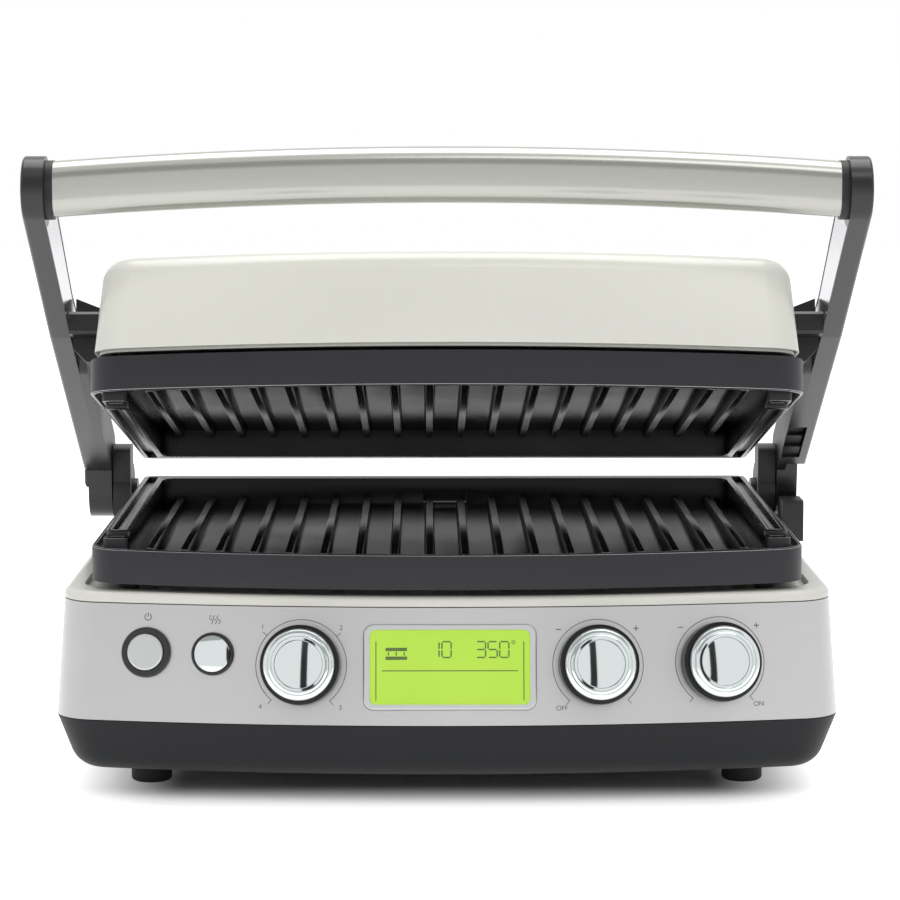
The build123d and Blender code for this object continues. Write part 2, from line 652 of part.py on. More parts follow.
def arm_liner():
    """Polished sheet on the inner side of an arm."""
    return sideways(liner_outline(0.0), (ARM_INNER + 0.2, ARM_INNER + ARM_LINER)) - arm_holes()


def arm_knuckle():
    """Thicker lower part of an arm, on its inner side, in two lengths with a seam at the elbow."""
    hinge = (HINGE_DEPTH, HINGE_LEVEL)
    outline = capsule(hinge, BARREL_RADIUS, ARM_ELBOW, ARM_RADIUS)
    outline += capsule(ARM_ELBOW, ARM_RADIUS, KNUCKLE_END, ARM_RADIUS - 0.8)
    whole = sideways(outline, (KNUCKLE_INNER, ARM_INNER)) - arm_holes()
    start, elbow, end = (Vector(0, *point) for point in (hinge, ARM_ELBOW, KNUCKLE_END))
    seam = Plane(origin=elbow, z_dir=(elbow - start).normalized() + (end - elbow).normalized())
    lower = split(whole, seam.offset(-KNUCKLE_SEAM / 2), keep=Keep.BOTTOM)
    upper = split(whole, seam.offset(KNUCKLE_SEAM / 2), keep=Keep.TOP)
    return [lower, upper]


def arm_frame_at(along):
    """A plane on the arm between elbow and waist: x up the arm, y out of its lower face."""
    run = Vector(0, ARM_WAIST[0] - ARM_ELBOW[0], ARM_WAIST[1] - ARM_ELBOW[1]).normalized()
    start = Vector(0, *ARM_ELBOW) + run * along
    return Plane(origin=start, x_dir=run, z_dir=(1, 0, 0))


def selector_bay(grow):
    """Room in the right arm's lower face for the height selector."""
    size = (SELECTOR_LENGTH + 2 * grow, SELECTOR_DEEP + 2 * grow, SELECTOR_X[1] - SELECTOR_X[0] + 2 * grow)
    middle = (SELECTOR_X[0] + SELECTOR_X[1]) / 2
    place = Pos(SELECTOR_LENGTH / 2, ARM_RADIUS - SELECTOR_DEEP / 2, middle)
    return arm_frame_at(SELECTOR_ALONG) * place * Box(*size)


def height_selector():
    """Stepped slide that sets how far the head may come down."""
    slide = arm_frame_at(SELECTOR_ALONG)
    middle = (SELECTOR_X[0] + SELECTOR_X[1]) / 2
    wide = SELECTOR_X[1] - SELECTOR_X[0] - 0.8
    length = SELECTOR_LENGTH - SELECTOR_TRAVEL - 1.0
    treads = []
    for i in range(3):
        deep = SELECTOR_DEEP - 2.2 - 1.9 * i
        start = 0.5 + i * length / 3
        treads.append(Pos(start + length / 6, ARM_RADIUS - SELECTOR_DEEP + 0.5 + deep / 2, middle)
                      * Box(length / 3, deep, wide))
    return slide * (treads[0] + treads[1:])


def right_cover():
    """Right arm shell, cut short above the release and open for the selector."""
    low_end = block((0, FAR), (HINGE_DEPTH - 40, HINGE_DEPTH + 40), (0, RIGHT_COVER_END))
    return arm_cover() - low_end - selector_bay(0.0)


def right_barrel():
    """Right hinge barrel, set in from the arm above it."""
    outline = capsule((HINGE_DEPTH, HINGE_LEVEL), BARREL_RADIUS, ARM_ELBOW, ARM_RADIUS)
    barrel = sideways(outline, (ARM_INNER, RIGHT_BARREL_OUTER))
    barrel &= block((0, FAR), (HINGE_DEPTH - 40, HINGE_DEPTH + 40), (0, RIGHT_COVER_END - 0.4))
    return barrel - arm_holes()


def hinge_cap():
    """Round plug in the left barrel."""
    cap = rod(HINGE_CAP_RADIUS, HINGE_CAP, HINGE_DEPTH, HINGE_LEVEL)
    return fillet(cap.edges().sort_by(Axis.X)[-1], 0.8)


def handle_bar():
    """Hollow bar between the arms, bowed away from the hinge."""
    run = Vector(0, ARM_END[0] - ARM_WAIST[0], ARM_END[1] - ARM_WAIST[1]).normalized()
    left, right = (Vector(x, *ARM_END) for x in (-ARM_INNER - 2, ARM_INNER + 2))
    route = ThreePointArc(left, Vector(0, *ARM_END) + run * BAR_BOW, right)
    section = Plane(origin=route @ 0, x_dir=(0, 1, 0), z_dir=route % 0)
    solids = []
    for wall in (0.0, BAR_WALL):
        face = RectangleRounded(BAR_DEEP - 2 * wall, BAR_TALL - 2 * wall, BAR_ROUND - wall)
        solids.append(sweep(section * face, path=route))
    tube = solids[0] - solids[1]
    return tube & block((-BAR_HALF, BAR_HALF), (-FAR, FAR), (0, FAR))


def handle_collar():
    """Gasket between a handle end and the bar."""
    face = Pos(*ARM_END) * RectangleRounded(BAR_DEEP + 1.6, BAR_TALL + 1.6, BAR_ROUND + 0.8)
    ring = sideways(face, (BAR_HALF + 0.1, ARM_INNER - 0.05))
    return ring - rod(STUD_RADIUS + 0.03, (0, FAR), *ARM_END)


def top_cover():
    """Outer form of the head's painted cover and its hollow."""
    def form(inset, low, high):
        faces = [bowed(low, COVER_HALF_LOW - inset, COVER_FRONT_LOW + inset, COVER_REAR - inset,
                       PLATE_BOW, COVER_CORNER - inset),
                 bowed(high, COVER_HALF_HIGH - inset, COVER_FRONT_HIGH + inset, COVER_REAR - 5 - inset,
                       PLATE_BOW, COVER_CORNER - inset)]
        solid = loft(faces, ruled=True)
        return fillet(solid.faces().sort_by(Axis.Z)[-1].edges(), COVER_ROUND - inset)
    return form(0.0, COVER_LOW, COVER_HIGH), form(COVER_WALL, COVER_LOW, COVER_HIGH - COVER_WALL)


def cover_trim():
    """Painted lip set in under the cover."""
    rings = []
    for inset in (TRIM_INSET, TRIM_INSET + TRIM_WALL):
        rings.append(slab(TRIM_LOW, TRIM_HIGH, COVER_HALF_LOW - inset, COVER_FRONT_LOW + inset,
                          COVER_REAR - inset, PLATE_BOW, COVER_CORNER - inset))
    return rings[0] - rings[1]


def head_frame():
    """Plate that closes the cover from below and carries the upper heater."""
    low = 2 * PARTING - DECK_FIELD
    inset = COVER_WALL + 1.0
    sheet = slab(low, low + HEAD_FRAME_THICK, COVER_HALF_LOW - inset, COVER_FRONT_LOW + inset,
                 COVER_REAR - inset, PLATE_BOW, COVER_CORNER - inset)
    sheet -= slab(0, FAR, PAN_HALF + 0.5, PAN_FRONT - HEAD_FORWARD - 0.5, PAN_REAR - HEAD_FORWARD + 0.5,
                  PAN_BOW, PAN_CORNER + 0.5)
    for x, depth in HEAD_SCREWS:
        sheet -= post(HEAD_SCREW_RADIUS + 0.1, x, depth, (0, FAR))
    return sheet


def head_screws():
    """Screws up through the head's frame plate."""
    screws = []
    low = 2 * PARTING - DECK_FIELD
    for x, depth in HEAD_SCREWS:
        head = post(SCREW_HEAD_RADIUS - 0.5, x, depth, (low - 2, low))
        screws.append(head + post(HEAD_SCREW_RADIUS, x, depth, (low, low + HEAD_SCREW_LENGTH)))
    return screws


def pivot_bracket(cover):
    """Side block that hangs the head on an arm's pivot pin, with a raised stop behind it."""
    face = Pos(PIVOT_DEPTH, PIVOT_LEVEL) * Rectangle(BRACKET_DEEP, BRACKET_TALL)
    lug = sideways(chamfer(face.vertices(), 1.5), (150, ARM_INNER - 0.4))
    rear = PIVOT_DEPTH + BRACKET_DEEP / 2
    top = PIVOT_LEVEL + BRACKET_TALL / 2
    wing = Plane.XZ.offset(-rear + 3) * make_face(Polyline(
        (WING_INNER, top - 4), (ARM_INNER - 1, top - 4), (ARM_INNER - 1, top + 11), (WING_INNER, top + 6),
        close=True))
    lug += extrude(wing, amount=9)
    web = Polyline((WEB_INNER, WEB_LOW), (WEB_OUTER - WEB_CHAMFER, WEB_LOW),
                   (WEB_OUTER, WEB_LOW + WEB_CHAMFER), (WEB_OUTER, PIVOT_LEVEL), (WEB_INNER, PIVOT_LEVEL),
                   close=True)
    lug += extrude(Plane.XZ.offset(-rear) * make_face(web), amount=BRACKET_DEEP / 2 + 4)
    return lug - cover - rod(PIVOT_PIN_RADIUS + 0.06, (COVER_HALF_LOW + 2, FAR), PIVOT_DEPTH, PIVOT_LEVEL)


def lower_release():
    """Thumb slide on the deck that frees the lower plate."""
    tab = block((PLATE_HALF + 0.6, PLATE_HALF + 7.5), (RELEASE_DEPTH - 11, RELEASE_DEPTH + 11),
                (DECK_HIGH + CLEAR, DECK_HIGH + 9))
    tab = fillet(tab.edges().filter_by(Axis.X), 2.0)
    stem = block((RELEASE_SLOT_X[0] + 0.5, RELEASE_SLOT_X[0] + 4.0), (RELEASE_DEPTH - 4, RELEASE_DEPTH + 4),
                 (DECK_RIB - 3, DECK_HIGH + 2))
    return tab + stem


def upper_release_block(grow):
    """Stem of the head's release button."""
    return block((150, COVER_HALF_LOW + 5), (UPPER_RELEASE_DEPTH - 5 - grow, UPPER_RELEASE_DEPTH + 5 + grow),
                 (UPPER_RELEASE_LEVEL - 2 - grow, UPPER_RELEASE_LEVEL + 2 + grow))


def upper_release():
    """Side button on the head that frees the upper plate."""
    cap = block((COVER_HALF_LOW + 2.5, COVER_HALF_LOW + 6.5),
                (UPPER_RELEASE_DEPTH - 10, UPPER_RELEASE_DEPTH + 10),
                (UPPER_RELEASE_LEVEL - 5, UPPER_RELEASE_LEVEL + 5))
    cap = fillet(cap.edges().filter_by(Axis.X), 2.5)
    return cap + upper_release_block(0.0)


def release_lever():
    """Pull lever beside the right hinge that lets the press open flat."""
    grip = block(LEVER_X, LEVER_DEPTHS, LEVER_GRIP)
    grip = fillet(grip.edges().filter_by(Axis.X), 2.5)
    tongue = block((POST_INNER + 2, KNUCKLE_INNER + 1), (LEVER_DEPTHS[0] + 5, 257), LEVER_LEVELS)
    return grip + tongue


def drip_tray():
    """Open grease tray with a wall plate that closes the base's mouth."""
    tray = block((-DRIP_HALF, DRIP_HALF), (DRIP_START, BASE_REAR + 0.4), (DRIP_LOW, DRIP_HIGH))
    tray -= block((-DRIP_HALF + 2, DRIP_HALF - 2), (DRIP_START + 2, BASE_REAR - 2), (DRIP_LOW + 2, FAR))
    wall = block((-DRIP_HALF - 4, DRIP_HALF + 4), (BASE_REAR + 0.4, BASE_REAR + 3),
                 (DRIP_LOW - 4, DRIP_HIGH + 4))
    return tray + wall


def drip_guide():
    """Trough on the tray floor that the drip tray slides along."""
    floor = FOOT_HEIGHT + TRAY_WALL
    half = DRIP_HALF + 0.6
    trough = block((-half - 2.5, half + 2.5), (DRIP_START - 2, BASE_REAR - 32), (floor, DRIP_LOW + 10))
    trough -= block((-half, half), (0, FAR), (DRIP_LOW - 0.6, FAR))
    return trough - block((-half + 2, half - 2), (0, FAR), (0, DRIP_LOW - 3))


def cord_gland():
    """Bush in the rear wall where the mains lead goes in."""
    turn = Rot(90, 0, 0)
    gland = Pos(0, BASE_REAR + 1.6, 0) * turn * Cylinder(CORD_HOLE_RADIUS + 3, 3)
    gland += Pos(0, BASE_REAR - 5, 0) * turn * Cylinder(CORD_HOLE_RADIUS - 0.1, 13)
    gland -= Pos(0, BASE_REAR, 0) * turn * Cylinder(CORD_RADIUS, 60)
    return Pos(GLAND_X, 0, GLAND_LEVEL) * gland


os.makedirs("parts", exist_ok=True)

# Base
save("base_tray", base_tray())
save("rubber_feet", *feet())
save("base_screws", *base_screws())
save("control_fascia", control_fascia())
save("rear_panel", rear_panel())
save("deck_frame", deck_frame())
save("drip_tray_guide", drip_guide())
save("cord_gland", cord_gland())
save("power_board", power_board())
save("power_components", *power_components())

# Controls
save("display_bezel", display_bezel())
save("display_window", display_sheet(-0.6, 0.8))
save("display_panel", display_sheet(-3.0, -0.7))
save("control_boards", *control_boards())
save("knob_encoders", *encoders())
save("button_switches", *switches())
for name, x in zip(("plate_knob", "temperature_knob", "timer_knob"), KNOB_XS):
    save(name, panel(x, KNOB_LEVEL) * knob())
save("start_ring", panel(START_X, BUTTON_LEVEL) * button_ring(START_RING, START_RADIUS))
save("sear_ring", panel(SEAR_X, BUTTON_LEVEL) * button_ring(SEAR_RING, SEAR_RADIUS - 0.2))
save("start_button", panel(START_X, BUTTON_LEVEL) * button(START_RADIUS, 1.0))
save("sear_button", panel(SEAR_X, BUTTON_LEVEL) * button(SEAR_RADIUS - 0.2, 2.6))

# Heaters and plates
for level, place in (("lower", lambda shape: shape), ("upper", above)):
    save(f"{level}_heater_pan", place(heater_pan()))
    save(f"{level}_heating_element", place(heating_element()))
    save(f"{level}_sensor", place(sensor()))
    save(f"{level}_plate_rests", *[place(rest) for rest in plate_hooks()])
    save(f"{level}_plate", place(grill_plate(level == "lower")))

# Hinge
right_post, left_post = both_sides(hinge_post())
save("left_hinge_post", left_post)
tongue_slot = block((POST_INNER + 1.6, FAR), (200, 258), (LEVER_LEVELS[0] - 0.4, LEVER_LEVELS[1] + 0.4))
save("right_hinge_post", right_post - tongue_slot)
save("hinge_pins", *both_sides(hinge_pin()))
save("hinge_bushes", *both_sides(hinge_bush()))
save("hinge_release_lever", release_lever())

# Arms and handle
cap_seat = rod(HINGE_CAP_RADIUS + 0.05, (HINGE_CAP[0], FAR), HINGE_DEPTH, HINGE_LEVEL)
barrel_face = rod(BARREL_RADIUS + 1, (LEFT_BARREL_OUTER, FAR), HINGE_DEPTH, HINGE_LEVEL)
save("left_arm_cover", mirror(arm_cover() - cap_seat - barrel_face, about=Plane.YZ))
save("left_arm_liner", mirror(arm_liner(), about=Plane.YZ))
save("left_arm_knuckle", *[mirror(length, about=Plane.YZ) for length in arm_knuckle()])
save("left_hinge_cap", mirror(hinge_cap(), about=Plane.YZ))
save("right_arm_cover", right_cover())
save("right_arm_liner", arm_liner() - selector_bay(0.0))
save("right_arm_knuckle", *[length - selector_bay(0.0) for length in arm_knuckle()])
save("right_hinge_barrel", right_barrel())
save("height_selector", height_selector())
save("handle_bar", handle_bar())
save("handle_collars", *both_sides(handle_collar()))
save("handle_studs", *both_sides(rod(STUD_RADIUS, (176, ARM_OUTER - 4.1), *ARM_END)))
pivot_pin = rod(PIVOT_PIN_RADIUS, (COVER_HALF_LOW + 2.5, ARM_OUTER - 3.1), PIVOT_DEPTH, PIVOT_LEVEL)
save("pivot_pins", *[opened(pin) for pin in both_sides(pivot_pin)])

# Head
cover_outside, cover_inside = top_cover()
cover = cover_outside - cover_inside - upper_release_block(0.4)
save("top_cover", opened(cover))
save("cover_trim", opened(cover_trim()))
save("head_frame", opened(head_frame()))
save("head_screws", *[opened(screw) for screw in head_screws()])
right_bracket, left_bracket = both_sides(pivot_bracket(cover_outside))
save("right_pivot_bracket", opened(right_bracket))
save("left_pivot_bracket", opened(left_bracket))
save("upper_release_button", opened(upper_release()))
save("lower_release_slide", lower_release())
save("drip_tray", drip_tray())
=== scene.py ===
import json
import math

import bmesh
import bpy
from mathutils import Matrix, Vector
from mathutils.bvhtree import BVHTree


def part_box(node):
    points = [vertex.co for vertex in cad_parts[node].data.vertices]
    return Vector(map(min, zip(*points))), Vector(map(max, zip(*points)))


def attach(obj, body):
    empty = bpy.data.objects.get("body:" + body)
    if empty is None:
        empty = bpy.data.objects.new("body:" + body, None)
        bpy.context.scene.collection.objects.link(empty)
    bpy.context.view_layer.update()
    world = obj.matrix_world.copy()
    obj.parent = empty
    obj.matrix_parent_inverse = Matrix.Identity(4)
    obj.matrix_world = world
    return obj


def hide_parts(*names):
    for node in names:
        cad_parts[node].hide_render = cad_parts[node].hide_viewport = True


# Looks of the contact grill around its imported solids. Metres, front towards -Y.
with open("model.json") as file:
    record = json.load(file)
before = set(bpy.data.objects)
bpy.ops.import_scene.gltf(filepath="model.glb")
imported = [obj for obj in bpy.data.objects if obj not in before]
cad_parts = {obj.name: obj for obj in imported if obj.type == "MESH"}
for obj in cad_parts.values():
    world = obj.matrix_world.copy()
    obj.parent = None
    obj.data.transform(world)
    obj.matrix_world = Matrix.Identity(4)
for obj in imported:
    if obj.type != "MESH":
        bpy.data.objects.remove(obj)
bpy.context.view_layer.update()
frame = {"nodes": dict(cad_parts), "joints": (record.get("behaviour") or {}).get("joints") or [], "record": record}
MM = 0.001

# Camera for a picture of 900 by 900 pixels, its place in metres and its angles in degrees
IMAGE_SIZE = 900
FOCAL_PIXELS = 3100
SENSOR_WIDTH = 36.0
CAMERA_PLACE = (-0.0100, -1.6277, 0.3360)
CAMERA_PITCH = 6.26
CAMERA_YAW = 0.43

# Controls, in millimetres along the fascia and above the table
DISPLAY_X = 1.0
DISPLAY_LEVEL = 69.5
START_X = -146.0
SEAR_X = -113.5
BUTTON_LEVEL = 74.6
SEAR_RADIUS = 8.9
SEAR_DOME = 46.0
SEAR_ROOT = -1.5
SEAR_SHOULDER = 2.3
SEAR_HEIGHT = 3.6
KNOB_RADIUS = 17.4
KNOB_HEIGHT = 12.4
KNOB_SKIRT = 19.4
KNOB_SKIRT_TOP = 7.0
KNOB_DISC = 11.4
KNOB_DOME = 115.0
KNOB_BASE = 1.0
KNOB_STEP_DROP = 0.75
KNOB_CHROME_DEPTH = 2.1

# Turned rings on a knob's face: radius, and height over its step
KNOB_RINGS = [(15.1, 0.25), (14.9, -0.15), (14.7, -0.15), (14.4, 0.1), (13.5, 0.45), (13.3, 0.05),
              (13.1, 0.05), (12.9, 0.3), (11.8, 0.35), (11.6, -0.1)]

# Print round the knobs, in millimetres from each knob's middle or off the fascia, and the angles of its ring
MARK_RADIUS = 22.0
MARK_LINE = 0.34
MARK_LIFT = 0.05
MARK_START = 8
MARK_ENDS = (-50, 230)
MARK_STOPS = (40, 140)
TICK_LENGTH = 2.6
TICK_ROOT = 0.1
CAPTION_SIZE = 3.3
CAPTION_CORNERS = [(-19.0, 18.2), (19.0, 18.2), (19.4, -20.2), (-19.4, -20.2)]
OFF_PLACE = (-18.0, -20.6)
ON_PLACE = (18.4, -20.6)
SIGN_LINE = 0.42
SIGN_STROKES = [((-20.2, 17.4), (-17.6, 17.4)), ((17.6, 17.4), (20.2, 17.4)), ((18.9, 16.1), (18.9, 18.7))]

# Round strokes: degrees to a step, and the least number of steps
ARC_STEP = 3
ARC_LEAST = 6

# Symbols over the two buttons, in millimetres from each button's middle
POWER_RADIUS = 1.6
POWER_ENDS = (-240, 60)
POWER_LEVELS = (17.2, 19.4)
POWER_LINE = 0.4
HEAT_RADIUS = 1.0
HEAT_LINE = 0.36
HEAT_XS = (-1.8, 0, 1.8)
HEAT_BENDS = ((0.6, 17.6, 100, 260), (0.2, 15.7, -80, 80))

# Figures and lines of the display, in millimetres from its middle
FIGURES = (("1", -7.4), ("0", -1.6), ("3", 15.0), ("5", 20.6), ("0", 26.2))
FIGURE_LEVEL = 8.5
FIGURE_WIDE = 4.4
FIGURE_TALL = 7.6
FIGURE_LINE = 0.72
FIGURE_GAP = 0.35
FIGURE_DEPTH = -0.66
DEGREE_PLACE = (30.6, 12.0)
DEGREE_RADIUS = 0.7
DEGREE_LINE = 0.4
DISPLAY_LINE = 0.5
DISPLAY_SIDE = 35.6
DISPLAY_SIDE_LEVELS = (-16.0, 12.4)
DISPLAY_RULE = (32.8, -1.7)
PLATE_SIGN_LEVELS = (4.4, 8.6)
PLATE_SIGN_X = (-31.0, -20.6)
PLATE_SIGN_LINE = 1.6
PLATE_SIGN_RIBS = (-29.6, -25.8, -22.0)
PLATE_SIGN_RIB_LEVELS = (5.6, 7.4)
PLATE_SIGN_RIB_LINE = 0.6

# Handle bar, in millimetres, as the arms hold it
BAR_TALL = 27.0
BAR_DEEP = 21.0
BAR_ROUND = 9.0
BAR_HALF = 189.6
BAR_SPAN = 195.7
BAR_BOW = 13.0

# Grease chute behind the lower plate, in millimetres
CHUTE_HALF = 14.0
CHUTE_DEEP = 9.0
CHUTE_ROUND = 3.0
CHUTE_WALL = 1.2
CHUTE_LEVELS = (105.0, 126.5)

# Level below the head's pivot from which its brackets are black, as painted shade in the recess under them, in
# millimetres
SHADED_WEB_DROP = 6.5

# Part of a face's normal that has to point inwards on a black knuckle side, or upwards on a level face
INWARD_PART = 0.7
LEVEL_PART = 0.5

# Bright bare-metal edges of the grill plates, painted highlights along their rims and ribs: their width in
# millimetres, and the least angle of such an edge
EDGE_HIGHLIGHT_WIDTH = 0.35
EDGE_ANGLE = 30

# Angles up to which a form is shaded smooth, and up to which its small faces join as one
SMOOTH_ANGLE = 32
FLAT_ANGLE = 0.4

# Floor's colour, half its width in metres, its own white, and the surroundings as a light and to the eye
FLOOR_GREY = 0.86
FLOOR_HALF = 6.0
FLOOR_GLOW = 0.68
SKY_LIGHT = 0.50
SKY_SEEN = 1.0

# Half width and half depth of the object's place on the floor, where the floor's own white is left out as a
# painted shadow, and the reach over which that painted shadow fades, in metres
PAINTED_SHADOW_FOOTPRINT = (0.13, 0.102, 0)
PAINTED_SHADOW_REACH = 0.065

# Lamps: place, target and size in metres, power in watts, and whether metal mirrors them
LAMPS = {
    "key": ((0.7, -1.4, 1.6), (0, 0, 0.15), (1.6, 1.2), 10.5, True),
    "fill": ((-1.1, -1.4, 1.2), (0, 0, 0.15), (1.4, 1.2), 7.0, False),
    "top": ((0.0, 0.4, 2.0), (0, 0, 0.2), (1.8, 1.4), 22.0, True),
}

# Dim board that the handle mirrors, in metres
SHADE_PLACE = (0, -0.62, 0.58)
SHADE_TARGET = (0, -0.17, 0.29)
SHADE_SIZE = (1.4, 0.36)
SHADE_GREY = 0.42

# Dark boards in front of the knobs, in metres, and their bearings in degrees
FLAG_DISTANCE = 0.22
FLAG_SIZE = (0.0155, 0.115)
FLAG_RISE = Vector((0, 0, 0.057))
FLAG_GREY = 0.006
FLAG_BEARINGS = {"plate_select": -7.8, "temperature_set": 7.6, "timer_set": 14.4}


def tone(red, green, blue):
    """A display colour, 0 to 255, as the linear colour that shaders use."""
    levels = [value / 255 for value in (red, green, blue)]
    linear = [v / 12.92 if v <= 0.04045 else ((v + 0.055) / 1.055) ** 2.4 for v in levels]
    return (*linear, 1.0)


# Shader sums

class Field:
    """A shader socket that can be used in arithmetic."""

    def __init__(self, nodes, socket):
        self.nodes = nodes
        self.socket = socket

    def sum(self, operation, first, second):
        return self.nodes.add("ShaderNodeMath", {"operation": operation}, {0: first, 1: second})

    def __add__(self, other):
        return self.sum("ADD", self, other)

    def __radd__(self, other):
        return self.sum("ADD", other, self)

    def __mul__(self, other):
        return self.sum("MULTIPLY", self, other)

    def __rmul__(self, other):
        return self.sum("MULTIPLY", other, self)


class Nodes:
    """The node tree of a material or of the surroundings."""

    def __init__(self, tree):
        self.tree = tree

    def add(self, kind, settings=None, sockets=None, out=0):
        """Add a node: its settings first, then the values or links of its sockets."""
        node = self.tree.nodes.new(kind)
        for name, value in (settings or {}).items():
            if name == "stops":
                self.set_stops(node.color_ramp, value)
            else:
                setattr(node, name, value)
        for name, value in (sockets or {}).items():
            self.feed(node.inputs[name], value)
        return Field(self, node.outputs[out])

    def set_stops(self, ramp, stops):
        while len(ramp.elements) < len(stops):
            ramp.elements.new(1.0)
        for element, (position, colour) in zip(ramp.elements, stops):
            element.position = position
            element.color = colour

    def feed(self, socket, value):
        if isinstance(value, Field):
            self.tree.links.new(value.socket, socket)
        else:
            socket.default_value = value

    def looked_at(self):
        """1 for what the camera sees, also by way of metal or glass, and 0 for what only lights."""
        seen = 0.0
        for ray in ("Is Camera Ray", "Is Glossy Ray", "Is Transmission Ray"):
            seen = self.add("ShaderNodeMath", {"operation": "MAXIMUM"}, {
                0: seen, 1: self.add("ShaderNodeLightPath", out=ray)})
        return seen


class Finish(Nodes):
    """A material in the making, around one principled shader."""

    def __init__(self, name, **constants):
        self.material = bpy.data.materials.new(name)
        self.material.use_nodes = True
        super().__init__(self.material.node_tree)
        self.shader = self.tree.nodes["Principled BSDF"]
        self.place = self.add("ShaderNodeTexCoord", out="Object")
        for socket, value in constants.items():
            self.set(socket.replace("_", " "), value)

    def set(self, socket, value):
        """Set or link a socket of the principled shader."""
        self.feed(self.shader.inputs[socket], value)

    def stretched(self, scale, turn=(0, 0, 0)):
        """Object coordinates, turned and scaled."""
        return self.add("ShaderNodeMapping", sockets={
            "Vector": self.place, "Scale": scale, "Rotation": [math.radians(t) for t in turn]})

    def noise(self, scale, detail=2.0, place=None):
        """Cloudy values around a half."""
        return self.add("ShaderNodeTexNoise", sockets={
            "Vector": place or self.place, "Scale": scale, "Detail": detail})

    def between(self, low, high, share):
        """A value between two limits, by a share from 0 to 1."""
        return low + (high - low) * share

    def tint(self, first, second, share):
        """A colour between two colours."""
        return self.add("ShaderNodeMix", {"data_type": "RGBA"}, {0: share, 6: first, 7: second}, out=2)

    def ramp(self, value, low, high):
        """A smooth step from 0 at the low limit to 1 at the high limit."""
        return self.add("ShaderNodeMapRange", {"interpolation_type": "SMOOTHSTEP"}, {
            "Value": value, "From Min": low, "From Max": high})

    def relief(self, height, distance):
        """Bump that feeds the shader's normal."""
        self.set("Normal", self.add("ShaderNodeBump", sockets={
            "Height": height, "Distance": distance, "Strength": 1.0}))


def shade(colour, factor):
    """A lighter or darker version of a colour."""
    return (*[channel * factor for channel in colour[:3]], 1.0)


def moulded(name, colour, roughness, grain, depth, gloss=0.5):
    """Moulded plastic or rubber: fine grain, and soft patches of sheen."""
    finish = Finish(name, Specular_IOR_Level=gloss)
    patches = finish.noise(26.0, 3.0)
    pores = finish.noise(grain, 2.0)
    finish.set("Base Color", finish.tint(shade(colour, 0.88), shade(colour, 1.12), patches))
    finish.set("Roughness", finish.between(roughness - 0.07, roughness + 0.07, patches * 0.6 + pores * 0.4))
    finish.relief(pores, depth)
    return finish


def painted(name, colour, roughness):
    """Sprayed paint: faint orange peel and an even satin gloss."""
    finish = Finish(name, Coat_Weight=0.35, Coat_Roughness=0.12)
    clouds = finish.noise(14.0, 2.0)
    peel = finish.noise(620.0, 1.0)
    finish.set("Base Color", finish.tint(shade(colour, 0.975), shade(colour, 1.02), clouds))
    finish.set("Roughness", finish.between(roughness - 0.05, roughness + 0.05, clouds))
    finish.relief(peel, 0.004 * MM)
    return finish


def brushed(name, colour, roughness, scale, depth):
    """Metal with a grain along the directions that the scale leaves long."""
    finish = Finish(name, Metallic=1.0)
    hair = finish.noise(1.0, 3.0, finish.stretched(scale))
    clouds = finish.noise(9.0, 2.0)
    finish.set("Base Color", finish.tint(shade(colour, 0.93), shade(colour, 1.06), hair * 0.7 + clouds * 0.3))
    finish.set("Roughness", finish.between(roughness - 0.08, roughness + 0.08, hair))
    finish.relief(hair, depth)
    return finish


def polished(name, colour, roughness):
    """Bright metal with faint smears."""
    finish = Finish(name, Metallic=1.0)
    smears = finish.noise(38.0, 4.0)
    finish.set("Base Color", finish.tint(shade(colour, 0.97), colour, smears))
    finish.set("Roughness", finish.between(roughness * 0.6, roughness * 1.4, smears))
    return finish


def metallic(name, colour, roughness):
    """Silver paint: fine flakes under an even sheen."""
    finish = Finish(name, Metallic=0.85)
    flakes = finish.noise(2400.0, 1.0)
    finish.set("Base Color", finish.tint(shade(colour, 0.97), shade(colour, 1.03), flakes))
    finish.set("Roughness", finish.between(roughness - 0.02, roughness + 0.02, flakes))
    return finish


def coated(name, colour, roughness, depth, gloss=0.5):
    """Coated casting: fine speckle and slightly uneven sheen."""
    finish = Finish(name, Specular_IOR_Level=gloss)
    speckle = finish.noise(1700.0, 2.0)
    patches = finish.noise(18.0, 3.0)
    mixed = speckle * 0.5 + patches * 0.5
    finish.set("Base Color", finish.tint(shade(colour, 0.82), shade(colour, 1.18), mixed))
    finish.set("Roughness", finish.between(roughness * 0.75, roughness * 1.25, patches))
    finish.relief(speckle, depth)
    return finish


def ink(name, colour):
    """Printed ink, a little thin in places."""
    finish = Finish(name)
    cover = finish.noise(900.0, 2.0)
    finish.set("Base Color", finish.tint(colour, shade(colour, 1.5), cover))
    finish.set("Roughness", finish.between(0.4, 0.6, cover))
    return finish


def heater_tube():
    """Oxidised heater sheath with straw and blue patches."""
    finish = Finish("heater_tube", Metallic=0.8)
    heat = finish.noise(34.0, 3.0)
    finish.set("Base Color", finish.tint(tone(66, 58, 50), tone(92, 92, 98), heat))
    finish.set("Roughness", finish.between(0.35, 0.6, heat))
    finish.relief(finish.noise(2600.0), 0.01 * MM)
    return finish


def circuit():
    """Green lacquered board with paler copper fields."""
    finish = Finish("circuit")
    fields = finish.add("ShaderNodeTexVoronoi", {"distance": "CHEBYCHEV"}, {
        "Vector": finish.place, "Scale": 160.0})
    finish.set("Base Color", finish.tint(tone(22, 74, 44), tone(52, 112, 66), finish.ramp(fields, 0.3, 0.4)))
    finish.set("Roughness", finish.between(0.25, 0.45, fields))
    finish.relief(fields, 0.02 * MM)
    return finish


def window():
    """Clear acrylic with a trace of dust."""
    finish = Finish("window", Transmission_Weight=1.0, IOR=1.3, Base_Color=(1.0, 1.0, 1.0, 1.0))
    dust = finish.noise(300.0, 3.0)
    finish.set("Roughness", finish.between(0.0, 0.06, dust))
    return finish


